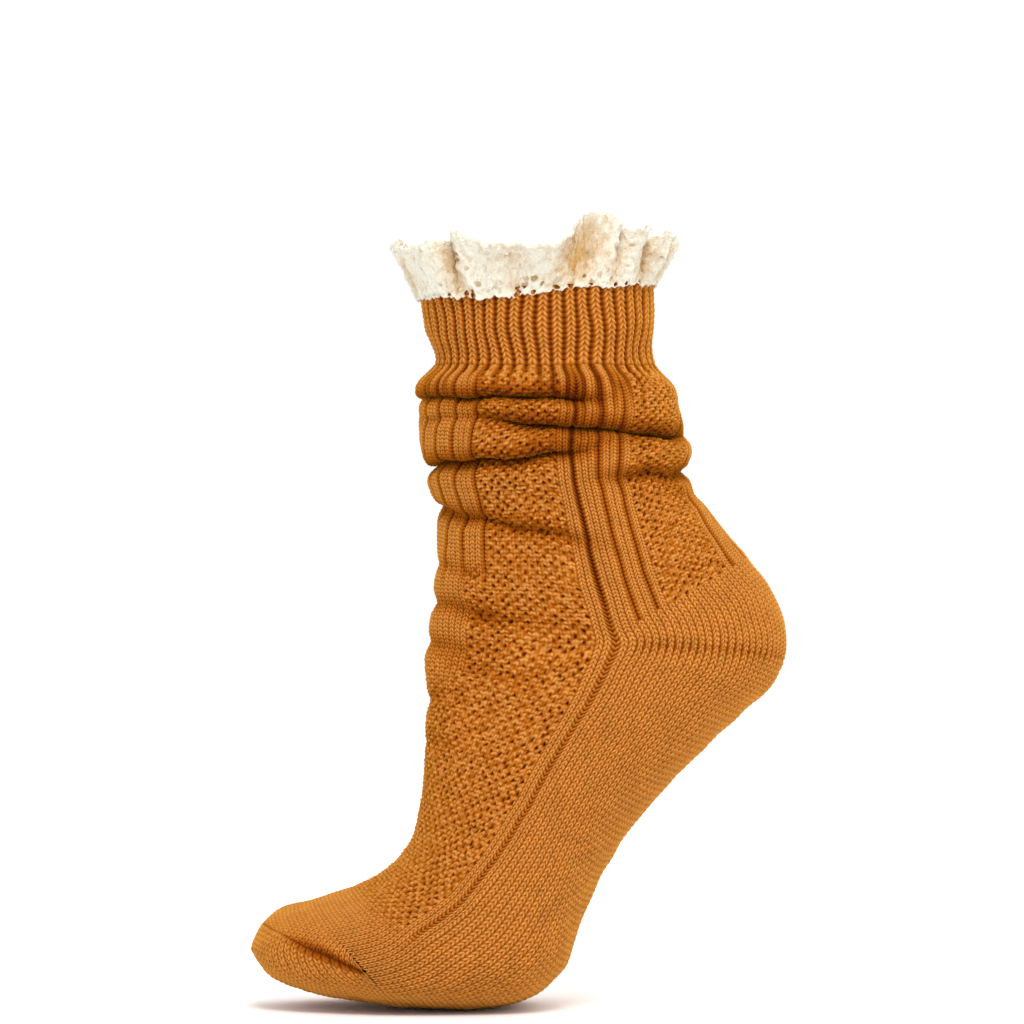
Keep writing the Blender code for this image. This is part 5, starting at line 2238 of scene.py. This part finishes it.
    def _holes(self) -> np.ndarray:
        """Draws which cells have a hole.

        Returns:
            Half widths and half heights of the holes in cells, as an array (rows, cells, 2).
        """
        draw = np.random.default_rng(SEED)
        found = np.zeros((len(LACE_ROWS), self.CELLS, 2))
        far_side = (np.arange(self.CELLS) + 0.5) * 360 / self.CELLS > self.NEAR_SIDE
        for k, row in enumerate(LACE_ROWS):
            here = (draw.random(self.CELLS) < row.chance) & far_side
            found[k] = draw.uniform(*self.HOLE_SIZES, (self.CELLS, 2)) / 2 * here[:, None]
        for hole in LACE_HOLES:
            cell = int(hole.degrees * self.CELLS / 360)
            found[hole.row, cell] = hole.wide / 2, hole.high / 2
        return found

    def _cut_holes(
        self, holes: np.ndarray, cell: np.ndarray, chart: np.ndarray
    ) -> tuple[np.ndarray, np.ndarray, np.ndarray]:
        """Opens faces inside the holes, and rounds the edge of each hole.

        Args:
            holes: Half sizes of the holes.
            cell: Chart coordinate of each vertex round the cuff.
            chart: Its chart coordinate up the ruffle.

        Returns:
            Which faces are open, and the moved coordinates.
        """

        def reach(at_cell: np.ndarray, at_chart: np.ndarray) -> tuple[np.ndarray, ...]:
            """How far places are from the middle of their cell.

            Args:
                at_cell: Their chart coordinates round the cuff.
                at_chart: Their chart coordinates up the ruffle.

            Returns:
                Distances as shares of the hole's radius, rows, and half sizes of the holes.
            """
            row = np.clip(np.floor(at_chart).astype(int), 0, len(LACE_ROWS) - 1)
            column = np.floor(at_cell).astype(int) % self.CELLS
            half = np.maximum(holes[row, column], self.NO_HOLE)
            x = (at_cell - np.floor(at_cell) - 0.5) / half[..., 0]
            y = (at_chart - row - 0.5) / half[..., 1]
            return np.hypot(x, y), row, half

        middle_cell = cell[:-1] + 0.5 / self.ACROSS_CELL
        middle_chart = chart[:-1] + 0.5 / self.UP_CELL
        open_face = reach(middle_cell, middle_chart)[0] < 1
        touching = np.zeros((4,) + cell.shape, bool)
        padded = np.zeros((cell.shape[0] + 1, cell.shape[1] + 1), bool)
        padded[1:-1, 1:] = open_face
        padded[:, 0] = padded[:, -1]
        for k, (r, c) in enumerate(((0, 0), (0, 1), (1, 0), (1, 1))):
            touching[k] = padded[r : r + cell.shape[0], c : c + cell.shape[1]]
        on_edge = touching.any(axis=0) & ~touching.all(axis=0)
        distance, row, half = reach(cell, chart)
        nearest, farthest = self.ROUNDED
        rounded = 1 / np.maximum(distance, nearest)
        scale = np.where(on_edge & (distance < farthest), rounded, 1.0)
        base_cell = np.floor(cell) + 0.5
        base_chart = row + 0.5
        return (
            open_face,
            base_cell + (cell - base_cell) * scale,
            np.where(scale != 1.0, base_chart + (chart - base_chart) * scale, chart),
        )

    @staticmethod
    def _wrapped_gradient(points: np.ndarray) -> np.ndarray:
        """Slope round the ruffle, whose last column is beside its first."""
        return (np.roll(points, -1, axis=1) - np.roll(points, 1, axis=1)) / 2

    @staticmethod
    def _rims(corners: np.ndarray) -> tuple[np.ndarray, np.ndarray]:
        """Edges that only one face has.

        Args:
            corners: Faces as an array (faces, 4).

        Returns:
            Those edges in their faces' direction, and their vertices.
        """
        edges = np.concatenate([corners[:, [k, (k + 1) % 4]] for k in range(4)])
        ordered = np.sort(edges, axis=1)
        key = ordered[:, 0] * (corners.max() + 1) + ordered[:, 1]
        _, inverse, count = np.unique(key, return_inverse=True, return_counts=True)
        rims = edges[count[inverse.reshape(-1)] == 1]
        return rims, np.unique(rims)


class Sock:
    """The whole sock: its form and every piece drawn on it."""

    TOE_RELIEF = 0.68  # its stitches are drawn flatter, since they are smaller than the others

    def __init__(self) -> None:
        """Builds the form and the finishes."""
        self.form = SockForm(SECTIONS, CREASES + FINE_CREASES)
        self.uneven = Waviness(SEED)
        self.yarn = yarn_material(YarnFinish())
        self.thread = lace_material(LaceFinish())
        self.cuts: dict[str, SheetCut] = {}

    def _knit(
        self, name: str, node: str, paths: WalePaths, held: str, lattice: Lattice, relief: float = 1
    ) -> None:
        """Draws one knitted piece with its own seed."""
        piece = Knit(name, node, paths, held, self.uneven, relief)
        self.cuts[name] = piece.build(lattice, self.yarn, SEED + len(self.cuts))

    def build(self) -> None:
        """Draws every piece of the sock."""
        front, back = int(FRONT_EDGE * 2), WALES - int(FRONT_EDGE * 2)
        first_front, first_back = -SIDE_WALE, SIDE_WALE + 1

        leg_front = StitchGrid(first_front, front, patterned)
        ankle = StitchGrid(first_front, front, on_the_ankle)
        leg_back = StitchGrid(first_back, back, patterned)
        instep = StitchGrid(first_front, front, on_the_instep)
        lower_instep = StitchGrid(first_front, front, on_the_lower_instep)
        toe_top = StitchGrid(first_front, front, plain)
        sole = StitchGrid(first_back, back, plain)

        cuff, leg, foot, toe = Cuff(self.form), Leg(self.form), Foot(self.form), Toe(self.form)
        self._knit("cuff_knit", "cuff", cuff.paths, "stretched", cuff.lattice())
        below_front = Border(instep, foot.instep_course(instep.wales))
        below_back = Border(sole, foot.heel_courses(sole.wales)[0])
        above_front = Border(ankle, leg.course(leg.front, ankle))
        above_back = Border(leg_back, leg.course(leg.back, leg_back))
        above_toe = Border(sole, foot.sole_course(sole.wales))
        for name, paths, grid, later, below in (
            ("leg_front_knit", leg.front, leg_front, ankle, below_front),
            ("leg_back_knit", leg.back, leg_back, leg_back, below_back),
        ):
            self._knit(name, "leg", paths, "gathered", leg.lattice(paths, grid, later, below))
        on_top = foot.instep(instep, lower_instep, toe_top, above_front)
        pieces = (
            ("instep_knit", "foot", foot.front, on_top),
            ("heel_knit", "foot", foot.back, foot.heel(sole, above_back)),
            ("sole_knit", "foot", foot.back, foot.sole(sole)),
            ("toe_top_knit", "toe", toe.top, toe.top_lattice(toe_top, foot.front)),
            ("toe_pocket_knit", "toe", toe.pocket, toe.pocket_lattice(sole, above_toe)),
        )
        for name, node, paths, lattice in pieces:
            relief = self.TOE_RELIEF if node == "toe" else 1.0
            self._knit(name, node, paths, "stretched", lattice, relief)
        self.cuts["lace_ruffle_crochet"] = LaceRuffle(self.form).build(self.thread)
        for name, cut in self.cuts.items():
            LOG.info("%s: cut %.1f x %.1f mm", name, cut.width / MM, cut.length / MM)


class Softbox(NamedTuple):
    """A square area light."""

    name: str
    place: tuple[float, float, float]
    side: float
    watts: float
    colour: str


class Studio:
    """White paper, soft daylight lamps and the camera of the product photo."""

    FLOOR_Z = -0.2508  # just below the ball of the foot
    FLOOR_SIDE = 8.0
    TARGET = (-0.00875, 0.0, -0.0777)
    CAMERA_DISTANCE = 1.991
    LENS = 200.0  # millimetres
    SENSOR = 36.0  # millimetres
    FARTHEST = 50.0  # that the camera sees, in metres
    SKY = "#FFFFFF"
    SKY_STRENGTH = 1.05
    LAMPS = (
        Softbox("key softbox", (0.15, -1.35, 1.5), 0.7, 25.0, "#FFFDF8"),
        Softbox("back softbox", (0.9, 1.3, 1.0), 1.2, 12.0, "#FFFFFF"),
    )

    def build(self) -> None:
        """Adds the floor, the lamps, the sky and the camera."""
        self._floor()
        for lamp in self.LAMPS:
            self._lamp(lamp)
        self._sky()
        self._camera()

    def _floor(self) -> None:
        """Lays the sheet of paper."""
        side = self.FLOOR_SIDE / 2
        corners = [(-side, -side), (side, -side), (side, side), (-side, side)]
        mesh = bpy.data.meshes.new("paper")
        mesh.from_pydata([(x, y, self.FLOOR_Z) for x, y in corners], [], [(0, 1, 2, 3)])
        mesh.materials.append(floor_material(FloorFinish()))
        floor = bpy.data.objects.new("paper floor", mesh)
        bpy.context.scene.collection.objects.link(floor)

    def _lamp(self, lamp: Softbox) -> None:
        """Adds a lamp that faces the sock.

        Args:
            lamp: The lamp.
        """
        data = bpy.data.lights.new(lamp.name, "AREA")
        data.shape = "SQUARE"
        data.size = lamp.side
        data.energy = lamp.watts
        data.color = linear(lamp.colour)[:3]
        made = bpy.data.objects.new(lamp.name, data)
        made.location = lamp.place
        aim = Vector(self.TARGET) - Vector(lamp.place)
        made.rotation_euler = aim.to_track_quat("-Z", "Y").to_euler()
        bpy.context.scene.collection.objects.link(made)

    def _sky(self) -> None:
        """Surrounds the scene with even white light."""
        world = bpy.data.worlds.new("white studio")
        world.use_nodes = True
        background = world.node_tree.nodes["Background"]
        background.inputs["Color"].default_value = linear(self.SKY)
        background.inputs["Strength"].default_value = self.SKY_STRENGTH
        bpy.context.scene.world = world
        bpy.context.scene.view_settings.view_transform = "Standard"  # keeps the paper white

    def _camera(self) -> None:
        """Sets the camera level with its target, on the side facing -Y."""
        data = bpy.data.cameras.new("product camera")
        data.lens = self.LENS
        data.sensor_width = self.SENSOR
        data.clip_end = self.FARTHEST
        made = bpy.data.objects.new("product camera", data)
        target = Vector(self.TARGET)
        made.location = target + Vector((0.0, -self.CAMERA_DISTANCE, 0.0))
        made.rotation_euler = (pi / 2, 0.0, 0.0)
        bpy.context.scene.collection.objects.link(made)
        bpy.context.scene.camera = made


def main() -> None:
    """Draws the sock in its studio."""
    logging.basicConfig(level=logging.INFO, format="%(name)s: %(message)s")
    Sock().build()
    Studio().build()


if __name__ == "__main__":
    main()
